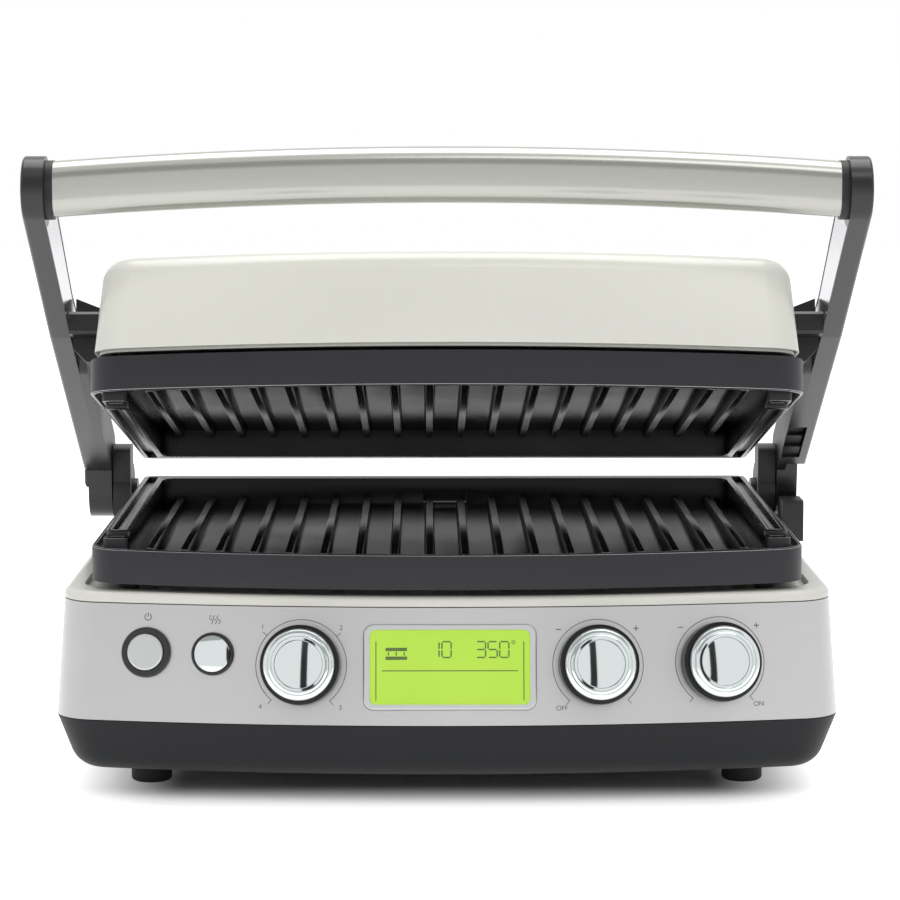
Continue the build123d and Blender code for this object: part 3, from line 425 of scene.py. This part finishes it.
def lit_display():
    """Backlit display sheet with a slightly uneven glow."""
    finish = Finish("lit_display", Emission_Strength=0.85, Roughness=0.5)
    glow = finish.noise(30.0, 1.0)
    light = finish.tint(tone(178, 224, 34), tone(190, 234, 58), glow)
    finish.set("Base Color", tone(60, 80, 20))
    finish.set("Emission Color", light)
    return finish


FINISHES = {
    "charcoal_plastic": moulded("charcoal_plastic", tone(34, 35, 37), 0.48, 2400.0, 0.012 * MM, 0.22),
    "black_plastic": moulded("black_plastic", tone(26, 26, 27), 0.48, 2600.0, 0.012 * MM),
    "arm_plastic": moulded("arm_plastic", tone(31, 31, 33), 0.25, 2400.0, 0.006 * MM),
    "brushed_fascia": brushed("brushed_fascia", tone(193, 193, 193), 0.38, (7.0, 7.0, 2600.0), 0.006 * MM),
    "cream_paint": painted("cream_paint", tone(222, 222, 213), 0.30),
    "cream_plastic": painted("cream_plastic", tone(222, 221, 213), 0.38),
    "handle_metal": metallic("handle_metal", tone(176, 176, 170), 0.24),
    "chrome": polished("chrome", tone(220, 226, 226), 0.05),
    "silver_plastic": metallic("silver_plastic", tone(196, 199, 198), 0.30),
    "cast_plate": coated("cast_plate", tone(30, 31, 35), 0.46, 0.008 * MM, 0.4),
    # Cooking side: a glossier coat, and a tone darker than the skirt that is painted shade between the plates
    "plate_gloss_shaded": coated("plate_gloss_shaded", tone(15, 15, 16), 0.24, 0.0008 * MM, 0.2),
    # Bright bare metal for the plates' edges: painted highlights
    "plate_edge_highlight": brushed("plate_edge_highlight", tone(196, 197, 200), 0.22, (700.0, 700.0, 700.0), 0.002 * MM),
    "knob_skirt": moulded("knob_skirt", tone(18, 18, 19), 0.25, 2600.0, 0.003 * MM, 0.3),
    "label_ink": ink("label_ink", tone(62, 62, 62)),
    "display_ink": ink("display_ink", tone(62, 92, 8)),
    "black_steel": coated("black_steel", tone(30, 30, 31), 0.40, 0.006 * MM),
    "bare_steel": brushed("bare_steel", tone(190, 190, 192), 0.30, (500.0, 500.0, 500.0), 0.004 * MM),
    "polished_liner": polished("polished_liner", tone(206, 206, 212), 0.14),
    "pan_sheet": brushed("pan_sheet", tone(178, 178, 176), 0.36, (30.0, 900.0, 30.0), 0.006 * MM),
    "heater_tube": heater_tube(),
    "rubber": moulded("rubber", tone(28, 28, 29), 0.72, 1800.0, 0.02 * MM),
    "window": window(),
    "lit_display": lit_display(),
    "circuit": circuit(),
}


def dress_nodes():
    """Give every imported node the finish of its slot."""
    for subpart in frame["record"]["subparts"]:
        node = frame["nodes"][subpart["node"]]
        node.data.materials.clear()
        node.data.materials.append(FINISHES[subpart["material_slot"]].material)


dress_nodes()


# Tools for the pieces

JOINTS = {joint["name"]: joint for joint in frame["joints"]}


def piece(name, shape, finishes, body, slot, *nodes):
    """A finished form as a piece that rides on a body and stands for some nodes."""
    for face in shape.faces:
        face.smooth = True
    for edge in shape.edges:
        edge.smooth = not edge.is_manifold or edge.calc_face_angle() < math.radians(SMOOTH_ANGLE)
    mesh = bpy.data.meshes.new(name)
    shape.to_mesh(mesh)
    shape.free()
    for finish in finishes:
        mesh.materials.append(FINISHES[finish].material)
    made = bpy.data.objects.new(name, mesh)
    bpy.context.scene.collection.objects.link(made)
    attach(made, body)
    if nodes:
        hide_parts(*nodes)


def spun(profile, steps=96):
    """A round form from its profile, pairs of radius and height in millimetres."""
    shape = bmesh.new()
    points = [shape.verts.new((radius * MM, 0, height * MM)) for radius, height in profile]
    lines = [shape.edges.new(pair) for pair in zip(points, points[1:])]
    bmesh.ops.spin(shape, geom=points + lines, cent=(0, 0, 0), axis=(0, 0, 1), angle=math.tau,
                   steps=steps, use_merge=True)
    bmesh.ops.remove_doubles(shape, verts=shape.verts, dist=MM / 10000)
    bmesh.ops.recalc_face_normals(shape, faces=shape.faces)
    return shape


def crown(radius, sphere, top, count):
    """Profile of a shallow dome from its rim to its middle."""
    turns = [math.asin(radius / sphere) * (1 - i / count) for i in range(count + 1)]
    return [(sphere * math.sin(turn), top - sphere * (1 - math.cos(turn))) for turn in turns]


class Fascia:
    """The bowed, leaning control panel, as the temperature knob's joint gives it."""

    def __init__(self, joint):
        self.home = Vector(joint["pos_m"])
        inward = Vector(joint["axis"])
        self.lean = math.asin(-inward.z)
        turn = math.atan2(-inward.x, inward.y)
        self.radius = self.home.x / math.sin(turn)
        self.front = self.home.y - self.radius * (1 - math.cos(turn))

    def place(self, x, level):
        """Frame at a point of the panel: x across, y up it, z out of it."""
        turn = math.asin(x * MM / self.radius)
        back = self.radius * (1 - math.cos(turn)) + (level * MM - self.home.z) * math.tan(self.lean)
        across = Vector((math.cos(turn), math.sin(turn), 0))
        flat = math.cos(self.lean)
        out = Vector((math.sin(turn) * flat, -math.cos(turn) * flat, math.sin(self.lean)))
        frame_at = Matrix((across, out.cross(across), out)).transposed().to_4x4()
        return Matrix.Translation((x * MM, self.front + back, level * MM)) @ frame_at


FASCIA = Fascia(JOINTS["temperature_set"])


# Knobs and the domed button

def knob_profile():
    """Skirt, bevelled rim and two ringed steps round a shallow dome."""
    step = KNOB_HEIGHT - KNOB_STEP_DROP
    skirt = [(0, KNOB_BASE), (KNOB_SKIRT - 0.4, KNOB_BASE), (KNOB_SKIRT, KNOB_BASE + 0.4),
             (KNOB_SKIRT - 0.2, KNOB_SKIRT_TOP - 0.5), (KNOB_SKIRT - 0.7, KNOB_SKIRT_TOP)]
    rim = [(KNOB_RADIUS - 0.1, KNOB_SKIRT_TOP + 0.2), (KNOB_RADIUS - 0.2, step - 1.3),
           (KNOB_RADIUS - 0.5, step - 0.5), (KNOB_RADIUS - 1.1, step)]
    rings = [(radius, step + height) for radius, height in KNOB_RINGS]
    return skirt + rim + rings + crown(KNOB_DISC, KNOB_DOME, KNOB_HEIGHT, count=8)


def add_knobs():
    """Chrome knobs with dark skirts."""
    for node, joint, body in (("plate_knob", "plate_select", "plate_dial"),
                              ("temperature_knob", "temperature_set", "temperature_dial"),
                              ("timer_knob", "timer_set", "timer_dial")):
        shape = spun(knob_profile())
        for face in shape.faces:
            face.material_index = int(face.calc_center_median().z < (KNOB_HEIGHT - KNOB_CHROME_DEPTH) * MM)
        x, _, level = [value / MM for value in JOINTS[joint]["pos_m"]]
        shape.transform(FASCIA.place(x, level))
        piece(node + "_turned", shape, ("chrome", "knob_skirt"), body, "chrome", node)


def add_domed_button():
    """Chrome button beside the start button."""
    sides = [(0, SEAR_ROOT), (SEAR_RADIUS, SEAR_ROOT), (SEAR_RADIUS, SEAR_SHOULDER),
             (SEAR_RADIUS - 0.15, SEAR_SHOULDER + 0.25)]
    shape = spun(sides + crown(SEAR_RADIUS - 0.4, SEAR_DOME, SEAR_HEIGHT, count=10))
    shape.transform(FASCIA.place(SEAR_X, BUTTON_LEVEL))
    piece("sear_button_domed", shape, ("chrome",), "sear_push", "chrome", "sear_button")


add_knobs()
add_domed_button()


# Printed marks and the display's figures, drawn flat in millimetres

def bar(start, end, width, into=None):
    """A straight stroke between two points."""
    shape = into or bmesh.new()
    run = Vector(end) - Vector(start)
    middle = (Vector(start) + Vector(end)) / 2
    place = Matrix.Translation((*middle, 0)) @ Matrix.Rotation(math.atan2(run.y, run.x), 4, "Z")
    bmesh.ops.create_grid(shape, x_segments=3, y_segments=1, size=0.5,
                          matrix=place @ Matrix.Diagonal((run.length, width, 1, 1)))
    return shape


def arc(radius, start, end, width, into=None, centre=(0, 0)):
    """A round stroke from one angle to another, anticlockwise from the right."""
    shape = into or bmesh.new()
    turn = math.radians(start)
    middle = Vector((*centre, 0))
    reach = Vector((math.cos(turn), math.sin(turn), 0))
    points = [shape.verts.new(middle + reach * (radius + side * width / 2)) for side in (-1, 1)]
    bmesh.ops.spin(shape, geom=points + [shape.edges.new(points)], cent=middle, axis=(0, 0, 1),
                   angle=math.radians(end - start), steps=max(ARC_LEAST, int((end - start) / ARC_STEP)))
    return shape


def word(text, size, centre, into):
    """Short lettering centred on a point."""
    letters = bpy.data.curves.new("letters", "FONT")
    letters.body = text
    letters.size = size
    letters.align_x = "CENTER"
    letters.align_y = "CENTER"
    holder = bpy.data.objects.new("letters", letters)
    bpy.context.scene.collection.objects.link(holder)
    mesh = bpy.data.meshes.new_from_object(holder)
    bpy.data.objects.remove(holder)
    mesh.transform(Matrix.Translation((*centre, 0)))
    into.from_mesh(mesh)


def print_on_fascia(name, shape, place):
    """Lay a flat drawing on the fascia's own surface."""
    node = frame["nodes"]["control_fascia"]
    tree = BVHTree.FromObject(node, bpy.context.evaluated_depsgraph_get())
    out = place.to_3x3() @ Vector((0, 0, 1))
    shape.transform(place @ Matrix.Scale(MM, 4))
    for vertex in shape.verts:
        hit = tree.ray_cast(vertex.co + out * MARK_START * MM, -out)[0]
        vertex.co = (hit or vertex.co) + out * MARK_LIFT * MM
    piece(name, shape, ("label_ink",), "base", "brushed_fascia")


def dial_marks(numbered, captions):
    """Ring round a knob, open below, with ticks at its ends and captions."""
    shape = arc(MARK_RADIUS, *MARK_ENDS, MARK_LINE)
    for angle in MARK_ENDS + (MARK_STOPS if numbered else ()):
        reach = Vector((math.cos(math.radians(angle)), math.sin(math.radians(angle))))
        bar(reach * (MARK_RADIUS - TICK_ROOT), reach * (MARK_RADIUS + TICK_LENGTH), MARK_LINE, shape)
    for text, centre in captions:
        word(text, CAPTION_SIZE, centre, shape)
    return shape


def add_marks():
    """Rings, ticks, signs and figures round the knobs, and a symbol over each button."""
    for joint, captions in (("plate_select", list(zip("1234", CAPTION_CORNERS))),
                            ("temperature_set", [("OFF", OFF_PLACE)]),
                            ("timer_set", [("ON", ON_PLACE)])):
        shape = dial_marks(joint == "plate_select", captions)
        if joint != "plate_select":
            for start, end in SIGN_STROKES:
                bar(start, end, SIGN_LINE, shape)
        x, _, level = [value / MM for value in JOINTS[joint]["pos_m"]]
        print_on_fascia(joint + "_marks", shape, FASCIA.place(x, level))
    low, high = POWER_LEVELS
    power = arc(POWER_RADIUS, *POWER_ENDS, POWER_LINE, centre=(0, low))
    bar((0, low), (0, high), POWER_LINE, power)
    print_on_fascia("start_symbol", power, FASCIA.place(START_X, BUTTON_LEVEL))
    heat = bmesh.new()
    for x in HEAT_XS:
        for aside, level, start, end in HEAT_BENDS:
            arc(HEAT_RADIUS, start, end, HEAT_LINE, heat, (x + aside, level))
    print_on_fascia("sear_symbol", heat, FASCIA.place(SEAR_X, BUTTON_LEVEL))


SEGMENTS = {"1": "bc", "0": "abcdef", "3": "abcdg", "5": "acdfg"}


def digit(figure, centre, shape):
    """A seven-segment figure."""
    half = FIGURE_WIDE / 2
    row = FIGURE_TALL / 2
    gap = FIGURE_GAP
    strokes = {
        "a": ((-half + gap, row), (half - gap, row)), "d": ((-half + gap, -row), (half - gap, -row)),
        "g": ((-half + gap, 0), (half - gap, 0)), "b": ((half, gap), (half, row - gap)),
        "c": ((half, -gap), (half, gap - row)), "e": ((-half, -gap), (-half, gap - row)),
        "f": ((-half, gap), (-half, row - gap))}
    for name in SEGMENTS[figure]:
        start, end = (Vector(point) + Vector(centre) for point in strokes[name])
        bar(start, end, FIGURE_LINE, shape)


def add_display_figures():
    """Time and heat in segments, frame lines and a sign for both plates."""
    shape = bmesh.new()
    for figure, x in FIGURES:
        digit(figure, (x, FIGURE_LEVEL), shape)
    arc(DEGREE_RADIUS, 0, 360, DEGREE_LINE, shape, DEGREE_PLACE)
    for x in (-DISPLAY_SIDE, DISPLAY_SIDE):
        low, high = DISPLAY_SIDE_LEVELS
        bar((x, low), (x, high), DISPLAY_LINE, shape)
    half, level = DISPLAY_RULE
    bar((-half, level), (half, level), DISPLAY_LINE, shape)
    left, right = PLATE_SIGN_X
    for level in PLATE_SIGN_LEVELS:
        bar((left, level), (right, level), PLATE_SIGN_LINE, shape)
    low, high = PLATE_SIGN_RIB_LEVELS
    for x in PLATE_SIGN_RIBS:
        bar((x, low), (x, high), PLATE_SIGN_RIB_LINE, shape)
    place = FASCIA.place(DISPLAY_X, DISPLAY_LEVEL)
    shape.transform(place @ Matrix.Translation((0, 0, FIGURE_DEPTH * MM)) @ Matrix.Scale(MM, 4))
    piece("display_figures", shape, ("display_ink",), "base", "lit_display")


add_marks()
add_display_figures()


# Handle and plates

def add_handle():
    """Bar of rounded section, bowed away from the hinge."""
    low, high = (Vector(corner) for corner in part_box("handle_collars"))
    hold = (low + high) / 2
    hold.x = 0
    pivot = Vector(JOINTS["head_tilt"]["pos_m"])
    run = (hold - Vector((0, pivot.y, pivot.z))).normalized()
    radius = (BAR_SPAN**2 + BAR_BOW**2) / (2 * BAR_BOW) * MM
    middle = hold + run * (BAR_BOW * MM - radius)
    turn = math.asin(BAR_SPAN * MM / radius)
    shape = bmesh.new()
    bmesh.ops.create_grid(shape, x_segments=1, y_segments=1, size=0.5)
    bmesh.ops.scale(shape, vec=(BAR_DEEP * MM, BAR_TALL * MM, 1), verts=shape.verts)
    bmesh.ops.bevel(shape, geom=shape.verts[:], offset=BAR_ROUND * MM, affect="VERTICES", segments=12,
                    profile=0.5, material=-1)
    bmesh.ops.delete(shape, geom=shape.faces[:], context="FACES_ONLY")
    crosswise = Matrix(((0, 0, 1), (1, 0, 0), (0, 1, 0))).to_4x4()
    shape.transform(Matrix.Translation(hold + run * BAR_BOW * MM) @ crosswise)
    axis = Vector((1, 0, 0)).cross(run)
    bmesh.ops.rotate(shape, verts=shape.verts, cent=middle, matrix=Matrix.Rotation(-turn, 3, axis))
    bmesh.ops.spin(shape, geom=shape.verts[:] + shape.edges[:], cent=middle, axis=axis, angle=2 * turn,
                   steps=72)
    for side in (-1, 1):
        bmesh.ops.bisect_plane(shape, geom=shape.verts[:] + shape.edges[:] + shape.faces[:],
                               plane_co=(side * BAR_HALF * MM, 0, 0), plane_no=(side, 0, 0), clear_outer=True)
    bmesh.ops.holes_fill(shape, edges=shape.edges[:])
    bmesh.ops.recalc_face_normals(shape, faces=shape.faces)
    piece("handle_bar_bowed", shape, ("handle_metal",), "arms", "handle_metal", "handle_bar")


def copied(node):
    """A node's own mesh, merged, with its flat faces whole."""
    shape = bmesh.new()
    shape.from_mesh(frame["nodes"][node].data)
    bmesh.ops.remove_doubles(shape, verts=shape.verts, dist=MM / 500)
    bmesh.ops.dissolve_limit(shape, angle_limit=math.radians(FLAT_ANGLE), verts=shape.verts,
                             edges=shape.edges)
    bmesh.ops.recalc_face_normals(shape, faces=shape.faces)
    return shape


def add_plate(node, body, cooking_side):
    """Grill plate: satin skirt, glossy cooking side darker than the skirt as painted shade between the plates, and
    bright bare metal along its edges as painted highlights.
    """
    shape = copied(node)
    tree = BVHTree.FromBMesh(shape)
    for face in shape.faces:
        start = face.calc_center_median() + face.normal * MM / 10
        upright = abs(face.normal.z) < LEVEL_PART
        skirt = upright and tree.ray_cast(start, face.normal)[0] is None
        # Faces inside the plate take the glossy finish, darkened as painted shade; the outer skirt stays satin
        face.material_index = int(not skirt and (upright or face.normal.z * cooking_side > 0))
    sharp = [edge for edge in shape.edges if edge.is_manifold and edge.is_convex
             and edge.calc_face_angle() > math.radians(EDGE_ANGLE)
             and min(face.normal.z * cooking_side for face in edge.link_faces) > -LEVEL_PART]
    # Sharp edges bevelled in bright bare metal: painted highlights
    made = bmesh.ops.bevel(shape, geom=sharp, offset=EDGE_HIGHLIGHT_WIDTH * MM, affect="EDGES", segments=2,
                           profile=0.5, material=-1, clamp_overlap=True)
    for face in made["faces"]:
        face.material_index = 2
    piece(node + "_cast", shape, ("cast_plate", "plate_gloss_shaded", "plate_edge_highlight"), body, "cast_plate", node)


def add_chute():
    """Guide behind the lower plate's spout that turns grease down to the drawer."""
    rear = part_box("lower_plate")[1][1]
    shape = bmesh.new()
    bmesh.ops.create_grid(shape, x_segments=1, y_segments=1, size=1.0)
    bmesh.ops.scale(shape, vec=(CHUTE_HALF * MM, CHUTE_DEEP * MM, 1), verts=shape.verts)
    front = [vertex for vertex in shape.verts if vertex.co.y < 0]
    corners = [vertex for vertex in shape.verts if vertex.co.y > 0]
    for vertex in front:
        vertex.co.y = 0
    bmesh.ops.bevel(shape, geom=corners, offset=CHUTE_ROUND * MM, affect="VERTICES", segments=8, profile=0.5,
                    material=-1)
    open_side = [edge for edge in shape.edges if all(vertex.co.y < MM / 100 for vertex in edge.verts)]
    bmesh.ops.delete(shape, geom=shape.faces[:], context="FACES_ONLY")
    bmesh.ops.delete(shape, geom=open_side, context="EDGES")
    bmesh.ops.translate(shape, vec=(0, rear + MM / 5, CHUTE_LEVELS[0] * MM), verts=shape.verts)
    raised = bmesh.ops.extrude_edge_only(shape, edges=shape.edges[:])["geom"]
    lifted = [item for item in raised if isinstance(item, bmesh.types.BMVert)]
    bmesh.ops.translate(shape, vec=(0, 0, (CHUTE_LEVELS[1] - CHUTE_LEVELS[0]) * MM), verts=lifted)
    bmesh.ops.recalc_face_normals(shape, faces=shape.faces)
    bmesh.ops.solidify(shape, geom=shape.faces[:], thickness=CHUTE_WALL * MM)
    bmesh.ops.recalc_face_normals(shape, faces=shape.faces)
    piece("grease_chute", shape, ("cast_plate",), "lower_grill", "cast_plate")


def add_dark_sides():
    """Brackets that are black below their pivot as painted shade in their recess, knuckles that are black inside,
    and black hinge pins.
    """
    pivot = Vector(JOINTS["head_tilt"]["pos_m"])
    for side, sign in (("left", -1), ("right", 1)):
        bracket = copied(side + "_pivot_bracket")
        # Faces below the pivot go black: painted shade in the recess under the bracket
        for face in bracket.faces:
            face.material_index = int(face.calc_center_median().z < pivot.z - SHADED_WEB_DROP * MM)
        piece(side + "_bracket_two_tone", bracket, ("arm_plastic", "black_plastic"), "head", "arm_plastic",
              side + "_pivot_bracket")
        knuckle = copied(side + "_arm_knuckle")
        for face in knuckle.faces:
            face.material_index = int(face.normal.x * sign < -INWARD_PART)
        piece(side + "_knuckle_two_tone", knuckle, ("arm_plastic", "black_plastic"), "arms", "arm_plastic",
              side + "_arm_knuckle")
    piece("hinge_pins_blackened", copied("hinge_pins"), ("black_steel",), "base", "bare_steel", "hinge_pins")


add_handle()
add_plate("lower_plate", "lower_grill", 1)
add_plate("upper_plate", "upper_grill", -1)
add_chute()
add_dark_sides()


# Stage, light and camera

def add_floor():
    """Pale floor that keeps the object's shadow, and whose own white fades out round the object's place as a
    painted shadow.
    """
    shape = bmesh.new()
    bmesh.ops.create_grid(shape, x_segments=2, y_segments=2, size=FLOOR_HALF)
    mesh = bpy.data.meshes.new("floor")
    shape.to_mesh(mesh)
    shape.free()
    floor = bpy.data.objects.new("floor", mesh)
    bpy.context.scene.collection.objects.link(floor)
    finish = Finish("floor", Base_Color=(FLOOR_GREY, FLOOR_GREY, FLOOR_GREY, 1.0), Roughness=0.9)
    # Own white taken away over and round the object's place: a painted shadow under the object
    offset = finish.add("ShaderNodeVectorMath", {"operation": "ABSOLUTE"}, {0: finish.place})
    offset = finish.add("ShaderNodeVectorMath", {"operation": "SUBTRACT"}, {0: offset, 1: PAINTED_SHADOW_FOOTPRINT})
    offset = finish.add("ShaderNodeVectorMath", {"operation": "MAXIMUM"}, {0: offset, 1: (0, 0, 0)})
    away = finish.add("ShaderNodeVectorMath", {"operation": "LENGTH"}, {0: offset}, out="Value")
    white = (FLOOR_GLOW, FLOOR_GLOW, FLOOR_GLOW, 1.0)
    glow = finish.add("ShaderNodeEmission", sockets={
        "Color": finish.tint((0, 0, 0, 1), white, finish.ramp(away, 0, PAINTED_SHADOW_REACH))})
    plain = Field(finish, finish.shader.outputs[0])
    both = finish.add("ShaderNodeAddShader", sockets={0: plain, 1: glow})
    pick = finish.add("ShaderNodeMixShader", sockets={0: finish.looked_at(), 1: plain, 2: both})
    finish.feed(finish.tree.nodes["Material Output"].inputs["Surface"], pick)
    mesh.materials.append(finish.material)


def add_world():
    """White surroundings to the eye and in reflections, softer as a light."""
    world = bpy.data.worlds.new("studio")
    bpy.context.scene.world = world
    world.use_nodes = True
    nodes = Nodes(world.node_tree)
    strength = SKY_LIGHT + (SKY_SEEN - SKY_LIGHT) * nodes.looked_at()
    background = nodes.tree.nodes["Background"]
    nodes.feed(background.inputs["Color"], (1.0, 1.0, 1.0, 1.0))
    nodes.feed(background.inputs["Strength"], strength)


def add_lamp(name, place, target, size, power, mirrored):
    """Soft rectangular lamp that looks at a point."""
    data = bpy.data.lights.new(name, "AREA")
    data.shape = "RECTANGLE"
    data.size, data.size_y = size
    data.energy = power
    lamp = bpy.data.objects.new(name, data)
    lamp.visible_glossy = mirrored
    lamp.location = place
    lamp.rotation_euler = (Vector(target) - Vector(place)).to_track_quat("-Z", "Y").to_euler()
    bpy.context.scene.collection.objects.link(lamp)


def add_board(name, place, target, size, grey):
    """Board that faces a point and shows only in reflections."""
    finish = Finish(name, Base_Color=(0, 0, 0, 1), Emission_Color=(grey, grey, grey, 1),
                    Emission_Strength=1.0)
    shape = bmesh.new()
    bmesh.ops.create_grid(shape, x_segments=1, y_segments=1, size=0.5)
    turn = (Vector(target) - Vector(place)).to_track_quat("Z", "Y").to_matrix().to_4x4()
    shape.transform(Matrix.Translation(place) @ turn @ Matrix.Diagonal((*size, 1, 1)))
    mesh = bpy.data.meshes.new(name)
    shape.to_mesh(mesh)
    shape.free()
    mesh.materials.append(finish.material)
    board = bpy.data.objects.new(name, mesh)
    bpy.context.scene.collection.objects.link(board)
    for rays in ("camera", "shadow", "diffuse", "transmission"):
        setattr(board, "visible_" + rays, False)


def add_boards():
    """A dim board for the handle, and upright dark strips in the domed chrome."""
    add_board("shade", SHADE_PLACE, SHADE_TARGET, SHADE_SIZE, SHADE_GREY)
    for joint, bearing in FLAG_BEARINGS.items():
        turn = math.radians(bearing)
        home = Vector(JOINTS[joint]["pos_m"])
        place = home + Vector((math.sin(turn), -math.cos(turn), 0)) * FLAG_DISTANCE + FLAG_RISE
        add_board("flag_" + joint, place, home + FLAG_RISE, FLAG_SIZE, FLAG_GREY)


def add_camera():
    """The picture's own viewpoint."""
    data = bpy.data.cameras.new("camera")
    data.sensor_width = SENSOR_WIDTH
    data.lens = FOCAL_PIXELS / IMAGE_SIZE * SENSOR_WIDTH
    camera = bpy.data.objects.new("camera", data)
    camera.location = CAMERA_PLACE
    camera.rotation_euler = (math.radians(90 - CAMERA_PITCH), 0, math.radians(-CAMERA_YAW))
    bpy.context.scene.collection.objects.link(camera)
    bpy.context.scene.camera = camera


add_floor()
add_world()
add_boards()
for lamp_name, lamp_values in LAMPS.items():
    add_lamp(lamp_name, *lamp_values)
add_camera()
bpy.context.scene.view_settings.view_transform = "Standard"
